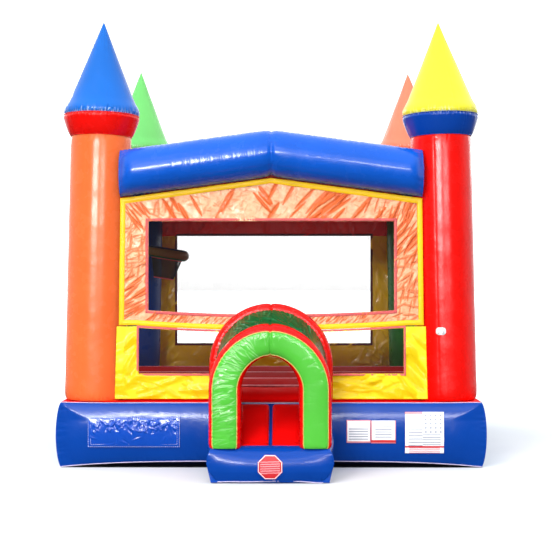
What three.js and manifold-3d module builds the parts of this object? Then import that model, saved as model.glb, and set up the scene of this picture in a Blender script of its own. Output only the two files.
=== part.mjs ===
// Inflatable bounce house: a square castle base with four leaning turrets, gabled beams,
// mesh windows, an arched entry tunnel and a padded step with a climbing ramp.
// Units are millimetres, +Z is up, the entrance faces -Y, and the origin is on the ground
// under the middle of the base. The air chambers are skins that open into each other.

import * as THREE from 'three';
import { mergeVertices } from 'three/addons/utils/BufferGeometryUtils.js';
import Module from 'manifold-3d';

const wasm = await Module();
wasm.setup();

// ---------------------------------------------------------------- driving dimensions

const SKIN = 2;
const GAP = 0.3;
const LEAN = 0.0197;

const BASE_SEAM = 1930;
const BASE_BULGE = 50;
const BASE_TOP = 600;

const FLOOR_HALF_X = 1690;
const FLOOR_HALF_Y = 1780;
const FLOOR_VALLEY = 690;
const FLOOR_CREST = 720;
const LOBE_WIDTH = 850;
const OUTER_SEAM = 1.5 * LOBE_WIDTH;

const TOWER_OFFSET = 1645;
const COLUMN_RADIUS = 284;
const COLUMN_TOP = 3068;
const COLLAR_TOP = 3265;
const COLLAR_RADIUS = 360;
const CONE_TOP = 4146;

const BEAM_RADIUS = 207;
const BEAM_END_Z = 2688;
const BEAM_RISE = 189;
const BEAM_HALF = 1400;
const FRONT_WALL_Y = 1851;
const SIDE_WALL_X = 1715;

const STEP_FRONT = -2890;
const STEP_TOP = 290;
const STEP_REAR = -1984;
const STEP_HALF = 505;
const RAMP_FOOT_Y = -2620;
const RAMP_TOP = 585;
const RAMP_RISE = (RAMP_TOP - STEP_TOP) / (STEP_REAR - RAMP_FOOT_Y);

const TUBE_RADIUS = 110;
const TUBE_X = 1200;
const TUBE_Z = 125;
const TUBE_END_Y = 2890;

const ZIP_START_X = -1090;
const ZIP_END_X = -610;
const ZIP_Z = 300;
const ZIP_FACE_Y = BASE_SEAM + BASE_BULGE + 1;

const ROUND_SIDES = 24;

// ---------------------------------------------------------------- colours

const RED = 0xd8211c;
const DARK_RED = 0xa01a1c;
const ORANGE = 0xf07a38;
const YELLOW = 0xf8d417;
const BLUE = 0x1a49b4;
const GREEN = 0x58cf4a;
const DARK_GREEN = 0x1f6b38;
const BLACK = 0x17171a;
const STEEL = 0xb4b6ba;

function vinyl(color) {
  return new THREE.MeshStandardMaterial({ color, roughness: 0.3, metalness: 0 });
}

function cloth(color) {
  return new THREE.MeshStandardMaterial({ color, roughness: 0.9, metalness: 0 });
}

function steel() {
  return new THREE.MeshStandardMaterial({ color: STEEL, roughness: 0.3, metalness: 1 });
}

// ---------------------------------------------------------------- solids

const AXIS_X = new THREE.Vector3(1, 0, 0);
const AXIS_Y = new THREE.Vector3(0, 1, 0);
const AXIS_Z = new THREE.Vector3(0, 0, 1);
const TO_XZ = new THREE.Matrix4().makeBasis(AXIS_X, AXIS_Z, AXIS_Y.clone().negate());
const TO_YZ = new THREE.Matrix4().makeBasis(AXIS_Y, AXIS_Z, AXIS_X);

// A closed geometry as a solid that can be cut and joined.
function toSolid(geometry) {
  const bare = geometry.clone();
  bare.deleteAttribute('normal');
  bare.deleteAttribute('uv');
  const merged = mergeVertices(bare, 1e-3);
  const corners = merged.index.array;
  const kept = [];
  for (let i = 0; i < corners.length; i += 3) {
    const [a, b, c] = corners.slice(i, i + 3);
    if (a !== b && b !== c && c !== a) {
      kept.push(a, b, c);
    }
  }
  return new wasm.Manifold(new wasm.Mesh({
    numProp: 3,
    vertProperties: merged.attributes.position.array,
    triVerts: new Uint32Array(kept),
  }));
}

function toMesh(name, solid, material) {
  const { vertProperties, triVerts } = solid.getMesh();
  const geometry = new THREE.BufferGeometry();
  geometry.setAttribute('position', new THREE.BufferAttribute(vertProperties, 3));
  geometry.setIndex(new THREE.BufferAttribute(triVerts, 1));
  geometry.computeVertexNormals();
  const mesh = new THREE.Mesh(geometry, material);
  mesh.name = name;
  return mesh;
}

function moved(solid, x, y, z) {
  return solid.translate([x, y, z]);
}

function block(x0, x1, y0, y1, z0, z1) {
  const box = toSolid(new THREE.BoxGeometry(x1 - x0, y1 - y0, z1 - z0));
  return moved(box, (x0 + x1) / 2, (y0 + y1) / 2, (z0 + z1) / 2);
}

// Outline points in anticlockwise order.
function ordered(outline) {
  const points = outline.map(([x, y]) => new THREE.Vector2(x, y));
  return THREE.ShapeUtils.isClockWise(points) ? points.reverse() : points;
}

function toShape(outline, hole) {
  const shape = new THREE.Shape(ordered(outline));
  if (hole) {
    shape.holes.push(new THREE.Path(ordered(hole)));
  }
  return shape;
}

// An outline given as [x, z], reaching from y0 to y1.
function plateXZ(outline, y0, y1, hole) {
  const geometry = new THREE.ExtrudeGeometry(toShape(outline, hole), { depth: y1 - y0, bevelEnabled: false });
  geometry.applyMatrix4(TO_XZ);
  return moved(toSolid(geometry), 0, y1, 0);
}

// An outline given as [y, z], reaching from x0 to x1.
function plateYZ(outline, x0, x1, hole) {
  const geometry = new THREE.ExtrudeGeometry(toShape(outline, hole), { depth: x1 - x0, bevelEnabled: false });
  geometry.applyMatrix4(TO_YZ);
  return moved(toSolid(geometry), x0, 0, 0);
}

// An outline given as [x, y], reaching from z0 to z1.
function plateXY(outline, z0, z1) {
  const geometry = new THREE.ExtrudeGeometry(toShape(outline), { depth: z1 - z0, bevelEnabled: false });
  return moved(toSolid(geometry), 0, 0, z0);
}

// A profile of [radius, height] pairs turned about the Z axis.
function turned(profile, sides = ROUND_SIDES) {
  const points = profile.map(([radius, height]) => new THREE.Vector2(radius, height));
  const geometry = new THREE.LatheGeometry(points, sides);
  geometry.rotateX(Math.PI / 2);
  return toSolid(geometry);
}

function drum(radius, z0, z1, sides = ROUND_SIDES) {
  return turned([[0, z0], [radius, z0], [radius, z1], [0, z1]], sides);
}

// Cylinders lying along X or Y, through the middle of the other two axes.
function drumX(radius, x0, x1, sides = ROUND_SIDES) {
  return drum(radius, x0, x1, sides).rotate([0, 90, 0]);
}

function drumY(radius, y0, y1, sides = ROUND_SIDES) {
  return drum(radius, -y1, -y0, sides).rotate([90, 0, 0]);
}

function ovalPoints(radiusX, radiusY, sides) {
  const points = [];
  for (let i = 0; i < sides; i += 1) {
    const angle = (2 * Math.PI * i) / sides;
    points.push([radiusX * Math.cos(angle), radiusY * Math.sin(angle)]);
  }
  return points;
}

function rectangle(x0, x1, y0, y1) {
  return [[x0, y0], [x1, y0], [x1, y1], [x0, y1]];
}

// ---------------------------------------------------------------- tower frames

function towerFrame(sideX, sideY) {
  const frame = new THREE.Group();
  frame.position.set(sideX * TOWER_OFFSET, sideY * TOWER_OFFSET, BASE_TOP);
  frame.rotation.set(sideY * LEAN, -sideX * LEAN, 0);
  frame.updateMatrix();
  return frame;
}

const CORNERS = [
  { name: 'front_left', sideX: -1, sideY: -1, column: ORANGE, collar: RED, cone: BLUE },
  { name: 'front_right', sideX: 1, sideY: -1, column: RED, collar: BLUE, cone: YELLOW },
  { name: 'rear_left', sideX: -1, sideY: 1, column: BLUE, collar: YELLOW, cone: GREEN },
  { name: 'rear_right', sideX: 1, sideY: 1, column: GREEN, collar: RED, cone: ORANGE },
];

// The space of every tower's column, in the object's frame, grown to the given radius.
function towerSpaces(radius, z0, z1) {
  const spaces = CORNERS.map(({ sideX, sideY }) => {
    const { matrix } = towerFrame(sideX, sideY);
    return drum(radius, z0 - BASE_TOP, z1 - BASE_TOP).transform(matrix.elements);
  });
  return wasm.Manifold.union(spaces);
}

// ---------------------------------------------------------------- base

// The front wall of the base: a sheet that bulges outwards and meets its neighbours in mitres.
function baseWall() {
  const low = SKIN + 0.4;
  const high = BASE_TOP - SKIN - 0.4;
  const steps = 8;
  const outside = [];
  for (let i = 0; i <= steps; i += 1) {
    const across = (2 * i) / steps - 1;
    const out = BASE_SEAM + BASE_BULGE * (1 - across * across);
    outside.push([-out, low + ((high - low) * i) / steps]);
  }
  const inside = outside.map(([y, z]) => [y + SKIN, z]).reverse();
  const reach = BASE_SEAM + 2 * BASE_BULGE;
  const sheet = plateYZ([...outside, ...inside], -reach, reach);
  const mitre = [[0, -GAP], [-reach, -GAP - reach], [reach, -GAP - reach]];
  return sheet.intersect(plateXY(mitre, 0, BASE_TOP));
}

function addBaseWalls(part) {
  const quarter = Math.PI / 2;
  const port = moved(drumY(TUBE_RADIUS + 2, -2050, -1850), -TUBE_X, 0, TUBE_Z);
  const vent = block(-ZIP_END_X, -ZIP_START_X, -2050, -1850, ZIP_Z - 5, ZIP_Z + 5);
  const walls = [
    ['base_front_wall', baseWall(), 0],
    ['base_right_wall', baseWall(), 1],
    ['base_rear_wall', baseWall().subtract(port).subtract(vent), 2],
    ['base_left_wall', baseWall(), 3],
  ];
  for (const [name, solid, turns] of walls) {
    const wall = toMesh(name, solid, vinyl(BLUE));
    wall.rotation.z = turns * quarter;
    part.add(wall);
  }
  const under = block(-BASE_SEAM, BASE_SEAM, -BASE_SEAM, BASE_SEAM, 0, SKIN);
  part.add(toMesh('base_underside', under, vinyl(BLACK)));
}

// Height of the bouncing surface, which rises in four lobes between cross seams.
function lobeHeight(y) {
  const away = Math.abs(y);
  if (away > OUTER_SEAM) {
    const along = (away - OUTER_SEAM) / (FLOOR_HALF_Y - OUTER_SEAM);
    return BASE_TOP + (FLOOR_VALLEY - BASE_TOP) * Math.sqrt(1 - along ** 3);
  }
  const along = ((away + LOBE_WIDTH / 2) % LOBE_WIDTH) / LOBE_WIDTH;
  return FLOOR_VALLEY + 4 * along * (1 - along) * (FLOOR_CREST - FLOOR_VALLEY);
}

function lobedBlock(inset) {
  const steps = 42;
  const outline = [];
  for (let i = 0; i <= steps; i += 1) {
    const y = FLOOR_HALF_Y - (2 * FLOOR_HALF_Y * i) / steps;
    const inner = y * (1 - inset / FLOOR_HALF_Y);
    outline.push([inner, lobeHeight(y) - inset]);
  }
  const bottom = BASE_TOP - SKIN - 4 * inset;
  outline.push([-FLOOR_HALF_Y + inset, bottom], [FLOOR_HALF_Y - inset, bottom]);
  return plateYZ(outline, -FLOOR_HALF_X + inset, FLOOR_HALF_X - inset);
}

function addFloor(part) {
  const pocket = COLUMN_RADIUS + 16;
  const sheetLow = BASE_TOP - SKIN;
  const lobes = lobedBlock(0);
  const pockets = towerSpaces(pocket, BASE_TOP, FLOOR_CREST + 100);
  const skirts = towerSpaces(pocket + SKIN, sheetLow - 50, FLOOR_CREST + 100).intersect(lobes);
  const raised = lobes.subtract(lobedBlock(SKIN)).add(skirts).subtract(pockets);
  const underColumns = towerSpaces(pocket + SKIN, sheetLow - 50, BASE_TOP + 50);
  const level = block(-BASE_SEAM, BASE_SEAM, -BASE_SEAM, BASE_SEAM, sheetLow, BASE_TOP);
  const middle = block(-FLOOR_HALF_X + 1, FLOOR_HALF_X - 1, -FLOOR_HALF_Y + 1, FLOOR_HALF_Y - 1, 500, 900);
  const flat = level.subtract(middle.subtract(underColumns));
  const airPorts = towerSpaces(200, 500, FLOOR_CREST);
  const belowRaised = block(-FLOOR_HALF_X, FLOOR_HALF_X, -FLOOR_HALF_Y, FLOOR_HALF_Y, 400, sheetLow);
  const floor = raised.subtract(belowRaised).add(flat).subtract(airPorts);
  part.add(toMesh('bounce_floor', floor, vinyl(DARK_RED)));
}

// Webs inside the base that hold the floor down along its seams, with holes for the air.
function addBaffles(part) {
  const low = SKIN + 0.4;
  const high = FLOOR_VALLEY - SKIN - 0.4;
  const middle = (low + high) / 2;
  const holeRadius = 120;
  const half = SKIN / 2;
  const reach = FLOOR_HALF_X - 20;
  const right = [];
  for (let i = 0; i < 4; i += 1) {
    const y = -OUTER_SEAM + i * LOBE_WIDTH;
    right.push([half, y - half], [reach, y - half], [reach, y + half], [half, y + half]);
  }
  const rightEdge = right.slice(1, -1);
  const leftEdge = rightEdge.map(([x, y]) => [-x, y]).reverse();
  let webs = plateXY([...rightEdge, ...leftEdge], low, high);
  for (const x of [-1200, -600, 600, 1200]) {
    webs = webs.subtract(moved(drumY(holeRadius, -1400, 1400, 12), x, 0, middle));
  }
  for (const y of [-LOBE_WIDTH, 0, LOBE_WIDTH]) {
    webs = webs.subtract(moved(drumX(holeRadius, -50, 50, 12), 0, y, middle));
  }
  part.add(toMesh('floor_baffles', webs, vinyl(BLACK)));
}

// ---------------------------------------------------------------- step and ramp

// The step's outer block, or with an inset its inside, whose rear end stays open.
function stepBlock(inset) {
  const bulge = 61;
  const footHalf = 487;
  const steps = 8;
  const side = [];
  for (let i = 0; i <= steps; i += 1) {
    const up = i / steps;
    const half = footHalf + (STEP_HALF - footHalf) * up + bulge * Math.sin(Math.PI * up);
    side.push([half - inset, inset + (STEP_TOP - inset) * up]);
  }
  side.push([STEP_HALF - inset, RAMP_TOP + 50]);
  const across = [...side, ...side.map(([x, z]) => [-x, z]).reverse()];
  const lengthways = [];
  for (let i = 0; i <= steps; i += 1) {
    const up = i / steps;
    const front = STEP_FRONT + 31 - 31 * Math.sin(Math.PI * up);
    lengthways.push([front + inset, inset + (STEP_TOP - 2 * inset) * up]);
  }
  const openEnd = STEP_REAR + 5 * inset;
  lengthways.push([RAMP_FOOT_Y, STEP_TOP - inset]);
  lengthways.push([openEnd, RAMP_TOP - inset + 5 * inset * RAMP_RISE]);
  lengthways.push([openEnd, inset]);
  const crossBlock = plateXZ(across, STEP_FRONT - 50, STEP_REAR + 50);
  return crossBlock.intersect(plateYZ(lengthways, -700, 700));
}

function addStep(part) {
  part.add(toMesh('step_block', stepBlock(0).subtract(stepBlock(SKIN)), vinyl(BLUE)));
  const rampFrame = new THREE.Group();
  rampFrame.position.set(0, RAMP_FOOT_Y, STEP_TOP);
  rampFrame.rotation.x = Math.atan(RAMP_RISE);
  const padLow = 0.5;
  const padHigh = 34;
  const corner = 10;
  const start = 22;
  const end = 672;
  const outline = [
    [start, padLow],
    [end, padLow],
    [end, padHigh - corner],
    [end - corner, padHigh],
    [start + corner, padHigh],
    [start, padHigh - corner],
  ];
  rampFrame.add(toMesh('step_pad_left', plateYZ(outline, -255, -20), vinyl(RED)));
  rampFrame.add(toMesh('step_pad_right', plateYZ(outline, 20, 255), vinyl(RED)));
  part.add(rampFrame);
}

// ---------------------------------------------------------------- entry tunnel

// Up one leg, over a half circle and down the other leg, in a plane of constant y.
class ArchCurve extends THREE.Curve {
  constructor(radius, springZ, footZ, y) {
    super();
    this.radius = radius;
    this.springZ = springZ;
    this.footZ = footZ;
    this.y = y;
  }

  getPoint(t, target = new THREE.Vector3()) {
    const leg = this.springZ - this.footZ;
    const bow = Math.PI * this.radius;
    const along = t * (2 * leg + bow);
    if (along < leg) {
      return target.set(-this.radius, this.y, this.footZ + along);
    }
    if (along < leg + bow) {
      const angle = (along - leg) / this.radius;
      const x = -this.radius * Math.cos(angle);
      return target.set(x, this.y, this.springZ + this.radius * Math.sin(angle));
    }
    return target.set(this.radius, this.y, this.springZ - (along - leg - bow));
  }
}

// An inflated arch: an oval tube along the curve, open at both feet.
function archTube(curve, radial, deep) {
  const sides = 14;
  const outside = ovalPoints(radial, deep, sides);
  const inside = ovalPoints(radial - SKIN, deep - SKIN, sides);
  const shape = toShape(outside, inside);
  return toSolid(new THREE.ExtrudeGeometry(shape, { steps: 22, extrudePath: curve }));
}

const ENTRY_REAR = -2650;
const PORCH_FRONT = -2040;
const CANOPY_FRONT_Z = 800;
const CANOPY_REAR_Z = 925;

function addTunnel(part) {
  const entryCurve = new ArchCurve(398.5, 790, STEP_TOP + 2, ENTRY_REAR - 105);
  const entryArch = archTube(entryCurve, 128.5, 105);
  part.add(toMesh('entry_arch', entryArch, vinyl(GREEN)));

  const porchCurve = new ArchCurve(501, 940, BASE_TOP + 3, PORCH_FRONT + 89);
  const porchArch = archTube(porchCurve, 65, 89);
  part.add(toMesh('porch_arch', porchArch, vinyl(RED)));

  const front = ENTRY_REAR + 2;
  const rear = PORCH_FRONT - 2;
  const slope = (CANOPY_REAR_Z - CANOPY_FRONT_Z) / (rear - front);
  const halfSkin = SKIN / 2;
  const steps = 18;
  const outer = [];
  const inner = [];
  for (let i = 0; i <= steps; i += 1) {
    const angle = (Math.PI * i) / steps;
    const direction = [Math.cos(angle), Math.sin(angle)];
    outer.push(direction.map((unit) => unit * (STEP_HALF + halfSkin)));
    inner.unshift(direction.map((unit) => unit * (STEP_HALF - halfSkin)));
  }
  const rising = new THREE.Matrix4().set(
    1, 0, 0, 0,
    0, 1, 0, 0,
    0, slope, 1, CANOPY_FRONT_Z - slope * front,
    0, 0, 0, 1,
  );
  const canopy = plateXZ([...outer, ...inner], front, rear).transform(rising.elements);
  part.add(toMesh('tunnel_canopy', canopy, vinyl(DARK_GREEN)));

  const rampEnd = STEP_TOP + RAMP_RISE * (rear - RAMP_FOOT_Y);
  const clear = 2 * GAP;
  const side = [
    [front, STEP_TOP + clear],
    [RAMP_FOOT_Y, STEP_TOP + clear],
    [rear, rampEnd + clear],
    [rear, CANOPY_REAR_Z - clear],
    [front, CANOPY_FRONT_Z - clear],
  ];
  for (const [name, sign] of [['tunnel_side_left', -1], ['tunnel_side_right', 1]]) {
    const x = sign * (STEP_HALF - halfSkin);
    const sheet = plateYZ(side, x - halfSkin, x + halfSkin);
    part.add(toMesh(name, sheet, vinyl(RED)));
  }
}

// ---------------------------------------------------------------- towers

function addTower(part, corner) {
  const frame = towerFrame(corner.sideX, corner.sideY);
  const top = COLUMN_TOP - BASE_TOP;
  const collarTop = COLLAR_TOP - BASE_TOP;
  const inner = COLUMN_RADIUS - SKIN;
  const pipe = turned([[inner, -40], [COLUMN_RADIUS, -40], [COLUMN_RADIUS, top], [inner, top], [inner, -40]]);
  const below = block(-900, 900, -900, 900, -300, GAP);
  const toFrame = frame.matrix.clone().invert();
  const ground = moved(below, frame.position.x, frame.position.y, BASE_TOP).transform(toFrame.elements);
  frame.add(toMesh(`column_${corner.name}`, pipe.subtract(ground), vinyl(corner.column)));

  const flare = [
    [COLUMN_RADIUS + 2, top + GAP],
    [COLUMN_RADIUS + 36, top + 90],
    [COLLAR_RADIUS, top + 175],
    [COLLAR_RADIUS - 4, collarTop],
  ];
  const flareInside = flare.map(([radius, z]) => [radius - SKIN, z]).reverse();
  const collar = turned([...flare, ...flareInside, flare[0]]);
  frame.add(toMesh(`collar_${corner.name}`, collar, vinyl(corner.collar)));

  const coneFoot = collarTop + GAP;
  const coneTop = CONE_TOP - BASE_TOP;
  const shoulder = [COLLAR_RADIUS - 2, coneFoot + 22];
  const outside = turned([[0, coneFoot], [COLLAR_RADIUS - 6, coneFoot], shoulder, [0, coneTop]]);
  const hollowTop = coneTop - 6 * SKIN;
  const insideShoulder = [shoulder[0] - SKIN, shoulder[1]];
  const hollow = turned([[0, coneFoot - 9], [COLLAR_RADIUS - 10, coneFoot - 9], insideShoulder, [0, hollowTop]]);
  frame.add(toMesh(`cone_${corner.name}`, outside.subtract(hollow), vinyl(corner.cone)));
  part.add(frame);
}

// ---------------------------------------------------------------- beams and roof

// A gabled tube along X, closed at both ends but for a port into the columns.
function gabledTube(radius, half, rise) {
  const curve = new THREE.CurvePath();
  const left = new THREE.Vector3(-half, 0, -(rise * half) / BEAM_HALF);
  const right = new THREE.Vector3(half, 0, -(rise * half) / BEAM_HALF);
  const ridge = new THREE.Vector3(0, 0, 0);
  curve.add(new THREE.LineCurve3(left, ridge));
  curve.add(new THREE.LineCurve3(ridge, right));
  const shape = toShape(ovalPoints(radius, radius, 20));
  return toSolid(new THREE.ExtrudeGeometry(shape, { steps: 2, extrudePath: curve }));
}

function beamShell(half, rise) {
  const outside = gabledTube(BEAM_RADIUS, half, rise);
  const inside = gabledTube(BEAM_RADIUS - SKIN, half - SKIN, rise);
  const ports = moved(drumX(70, -half - 100, half + 100, 12), 0, 0, -rise);
  const middle = block(-half + 200, half - 200, -100, 100, -rise - 100, 100);
  return outside.subtract(inside).subtract(ports.subtract(middle));
}

function addBeams(part) {
  const columns = towerSpaces(COLUMN_RADIUS + 1.5, BEAM_END_Z - 500, COLUMN_TOP);
  const beamY = FRONT_WALL_Y - LEAN * (BEAM_END_Z - BASE_TOP);
  const gabled = beamShell(BEAM_HALF, BEAM_RISE);
  const ridgeZ = BEAM_END_Z + BEAM_RISE;
  for (const [name, y] of [['front_beam', -beamY], ['rear_beam', beamY]]) {
    const beam = moved(gabled, 0, y, ridgeZ).subtract(columns);
    part.add(toMesh(name, beam, vinyl(BLUE)));
  }
  const beamX = SIDE_WALL_X - LEAN * (BEAM_END_Z - BASE_TOP);
  const level = beamShell(BEAM_HALF + 20, 0).rotate([0, 0, 90]);
  for (const [name, x] of [['left_beam', -beamX], ['right_beam', beamX]]) {
    const beam = moved(level, x, 0, BEAM_END_Z).subtract(columns);
    part.add(toMesh(name, beam, vinyl(BLUE)));
  }
  const roofHalfX = beamX - BEAM_RADIUS - 5;
  const roofHalfY = beamY - BEAM_RADIUS - 5;
  const eaveZ = ridgeZ - (BEAM_RISE * roofHalfX) / BEAM_HALF;
  const outline = [
    [-roofHalfX, eaveZ],
    [0, ridgeZ],
    [roofHalfX, eaveZ],
    [roofHalfX, eaveZ + SKIN],
    [0, ridgeZ + SKIN],
    [-roofHalfX, eaveZ + SKIN],
  ];
  const roof = plateXZ(outline, -roofHalfY, roofHalfY).subtract(columns);
  part.add(toMesh('roof_cover', roof, vinyl(RED)));
}

// ---------------------------------------------------------------- walls

const WALL_LOW = 20;
const SILL = 700;
const EAVE = 1877;
const GABLE = 2066;
const REAR_WINDOW_TOP = 1633;

// The front and rear walls are drawn upright in [x, height above the base] and then leaned.
function wallFrame(sideY) {
  const frame = new THREE.Group();
  frame.position.set(0, sideY * FRONT_WALL_Y, BASE_TOP);
  frame.rotation.x = sideY * LEAN;
  return frame;
}

function wallPlate(outline, hole) {
  return plateXZ(outline, -SKIN / 2, SKIN / 2, hole);
}

function shrunk(outline, middle, by) {
  return outline.map(([x, z]) => [x - Math.sign(x - middle[0]) * by, z - Math.sign(z - middle[1]) * by]);
}

function addFrontWall(part) {
  const frame = wallFrame(-1);
  const edge = [[-1410, SILL], [1410, SILL], [1400, EAVE], [0, GABLE], [-1400, EAVE]];
  const strip = 48;
  const inside = [
    [-1410 + strip, SILL + strip],
    [1410 - strip, SILL + strip],
    [1400 - strip, EAVE - strip],
    [0, GABLE - strip],
    [-1400 + strip, EAVE - strip],
  ];
  frame.add(toMesh('banner_border', wallPlate(edge, inside), vinyl(YELLOW)));
  const middle = [0, 1200];
  const window = rectangle(-1137, 1137, 847, 1664);
  frame.add(toMesh('front_banner', wallPlate(shrunk(inside, middle, GAP), window), vinyl(ORANGE)));
  const net = wallPlate(shrunk(window, middle, GAP));
  frame.add(toMesh('front_window_net', net, cloth(BLACK)));

  const lowerTop = SILL - 10;
  for (const [name, sign] of [['left', -1], ['right', 1]]) {
    const outline = [[575, WALL_LOW], [1446, WALL_LOW], [1430, lowerTop], [575, lowerTop]];
    const opening = rectangle(600, 1225, 255, 678);
    const handed = (points) => points.map(([x, z]) => [sign * x, z]);
    const panel = wallPlate(handed(outline), handed(opening));
    frame.add(toMesh(`front_lower_panel_${name}`, panel, vinyl(YELLOW)));
    const lowerNet = wallPlate(shrunk(handed(opening), [sign * 912, 466], GAP));
    frame.add(toMesh(`front_lower_net_${name}`, lowerNet, cloth(BLACK)));
  }
  part.add(frame);
}

function addRearWall(part) {
  const frame = wallFrame(1);
  const window = rectangle(-1165, 1165, 340, REAR_WINDOW_TOP);
  const panel = [
    [-1446, WALL_LOW],
    [1446, WALL_LOW],
    [1406, REAR_WINDOW_TOP],
    [1165, REAR_WINDOW_TOP],
    [1165, 340],
    [-1165, 340],
    [-1165, REAR_WINDOW_TOP],
    [-1406, REAR_WINDOW_TOP],
  ];
  frame.add(toMesh('rear_panel', wallPlate(panel), vinyl(YELLOW)));
  const headerLow = REAR_WINDOW_TOP + GAP;
  const header = [[-1404, headerLow], [1404, headerLow], [1400, EAVE], [0, GABLE], [-1400, EAVE]];
  frame.add(toMesh('rear_header', wallPlate(header), vinyl(RED)));
  const net = wallPlate(shrunk(window, [0, 900], GAP));
  frame.add(toMesh('rear_net', net, cloth(BLACK)));
  part.add(frame);
}

function addSideWalls(part) {
  const outline = [[-1364, WALL_LOW], [1364, WALL_LOW], [1328, EAVE - 2], [-1328, EAVE - 2]];
  const window = rectangle(-1120, 1120, 340, REAR_WINDOW_TOP);
  for (const [name, sign] of [['left', -1], ['right', 1]]) {
    const frame = new THREE.Group();
    frame.position.set(sign * SIDE_WALL_X, 0, BASE_TOP);
    frame.rotation.y = -sign * LEAN;
    const panel = plateYZ(outline, -SKIN / 2, SKIN / 2, window);
    frame.add(toMesh(`${name}_panel`, panel, vinyl(YELLOW)));
    const net = plateYZ(shrunk(window, [0, 900], GAP), -SKIN / 2, SKIN / 2);
    frame.add(toMesh(`${name}_net`, net, cloth(BLACK)));
    part.add(frame);
  }
}

// ---------------------------------------------------------------- basketball hoop

function addHoop(part) {
  const hoop = new THREE.Group();
  hoop.position.set(-1220, 1220, 1970);
  const ringRadius = 185;
  const tube = 74;
  const circle = (radius) => {
    const points = ovalPoints(radius, radius, 14).map(([x, z]) => [x + ringRadius, z]);
    return [...points, points[0]];
  };
  const airPort = moved(drumY(18, 0, 120, 10), 0, 190, 0).rotate([0, 0, 45]);
  const ring = turned(circle(tube)).subtract(turned(circle(tube - SKIN))).subtract(airPort);
  hoop.add(toMesh('hoop_ring', ring, vinyl(YELLOW)));
  const netTop = -tube - 1;
  const netLength = 225;
  const net = turned([
    [168, netTop],
    [170, netTop],
    [112, netTop - netLength],
    [110, netTop - netLength],
    [168, netTop],
  ].reverse());
  hoop.add(toMesh('hoop_net', net, cloth(BLACK)));
  part.add(hoop);
}

// ---------------------------------------------------------------- air inlet and deflation zip

function addInlet(part) {
  const outline = ovalPoints(TUBE_RADIUS, TUBE_RADIUS, ROUND_SIDES);
  const bore = ovalPoints(TUBE_RADIUS - SKIN, TUBE_RADIUS - SKIN, ROUND_SIDES);
  const tube = moved(plateXZ(outline, 1900, TUBE_END_Y, bore), TUBE_X, 0, TUBE_Z);
  part.add(toMesh('inflation_tube', tube, vinyl(BLUE)));
}

function addZip(part) {
  const tape = block(ZIP_START_X - 10, ZIP_END_X + 10, ZIP_FACE_Y, ZIP_FACE_Y + 3, ZIP_Z - 30, ZIP_Z + 30);
  part.add(toMesh('zipper_tape', tape, cloth(BLACK)));
  const sliderLow = ZIP_FACE_Y + 3.5;
  const runner = block(-14, 14, sliderLow, sliderLow + 6, ZIP_Z - 8, ZIP_Z + 8);
  const pull = block(-5, 5, sliderLow + 5, sliderLow + 8.5, ZIP_Z - 42, ZIP_Z + 2);
  const slider = toMesh('zipper_slider', runner.add(pull), steel());
  slider.position.x = ZIP_START_X + 5;
  part.add(slider);
  const flapY = ZIP_FACE_Y + 15;
  const flap = block(ZIP_START_X - 40, ZIP_END_X + 40, flapY, flapY + 2, ZIP_Z - 50, ZIP_Z + 60);
  part.add(toMesh('zipper_flap', flap, vinyl(BLUE)));
}

// ---------------------------------------------------------------- anchor points

const RING_X = 1990;
const RING_Z = 130;
const RING_RADIUS = 28;
const WIRE = 4;

class HangingBow extends THREE.Curve {
  getPoint(t, target = new THREE.Vector3()) {
    const angle = Math.PI * t;
    return target.set(0, -RING_RADIUS * Math.cos(angle), -RING_RADIUS * Math.sin(angle));
  }
}

function dRing() {
  const wire = toShape(ovalPoints(WIRE, WIRE, 10));
  const bow = toSolid(new THREE.ExtrudeGeometry(wire, { steps: 14, extrudePath: new HangingBow() }));
  return bow.add(drumY(WIRE, -RING_RADIUS - WIRE / 2, RING_RADIUS + WIRE / 2, 10));
}

// A stitched patch with a sleeve that holds the ring's bar.
function anchorTab() {
  const patch = block(-15, -11, -32, 32, -30, 68);
  const neck = block(-12, -4, -20, 20, -8, 8);
  const sleeve = drumY(8, -20, 20, 16);
  const bore = drumY(WIRE + 1, -40, 40, 16);
  return patch.add(neck).add(sleeve).subtract(bore);
}

function addAnchors(part) {
  for (const corner of CORNERS) {
    const anchor = new THREE.Group();
    anchor.position.set(corner.sideX * RING_X, corner.sideY * 1450, RING_Z);
    anchor.rotation.z = corner.sideX > 0 ? 0 : Math.PI;
    anchor.add(toMesh(`anchor_tab_${corner.name}`, anchorTab(), cloth(BLACK)));
    anchor.add(toMesh(`d_ring_${corner.name}`, dRing(), steel()));
    part.add(anchor);
  }
}

// ---------------------------------------------------------------- assembly

const part = new THREE.Group();
addBaseWalls(part);
addFloor(part);
addBaffles(part);
addStep(part);
addTunnel(part);
for (const corner of CORNERS) {
  addTower(part, corner);
}
addBeams(part);
addFrontWall(part);
addRearWall(part);
addSideWalls(part);
addHoop(part);
addInlet(part);
addZip(part);
addAnchors(part);

export default part;
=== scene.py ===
"""Inflatable bounce house: sewn vinyl skins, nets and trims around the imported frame.

Metres, +Z up, the entrance faces -Y. Every skin is a fine mesh whose folds and puckers are geometry.
"""

import itertools
import math

import bpy
import numpy as np
from mathutils import Matrix, Vector


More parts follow.
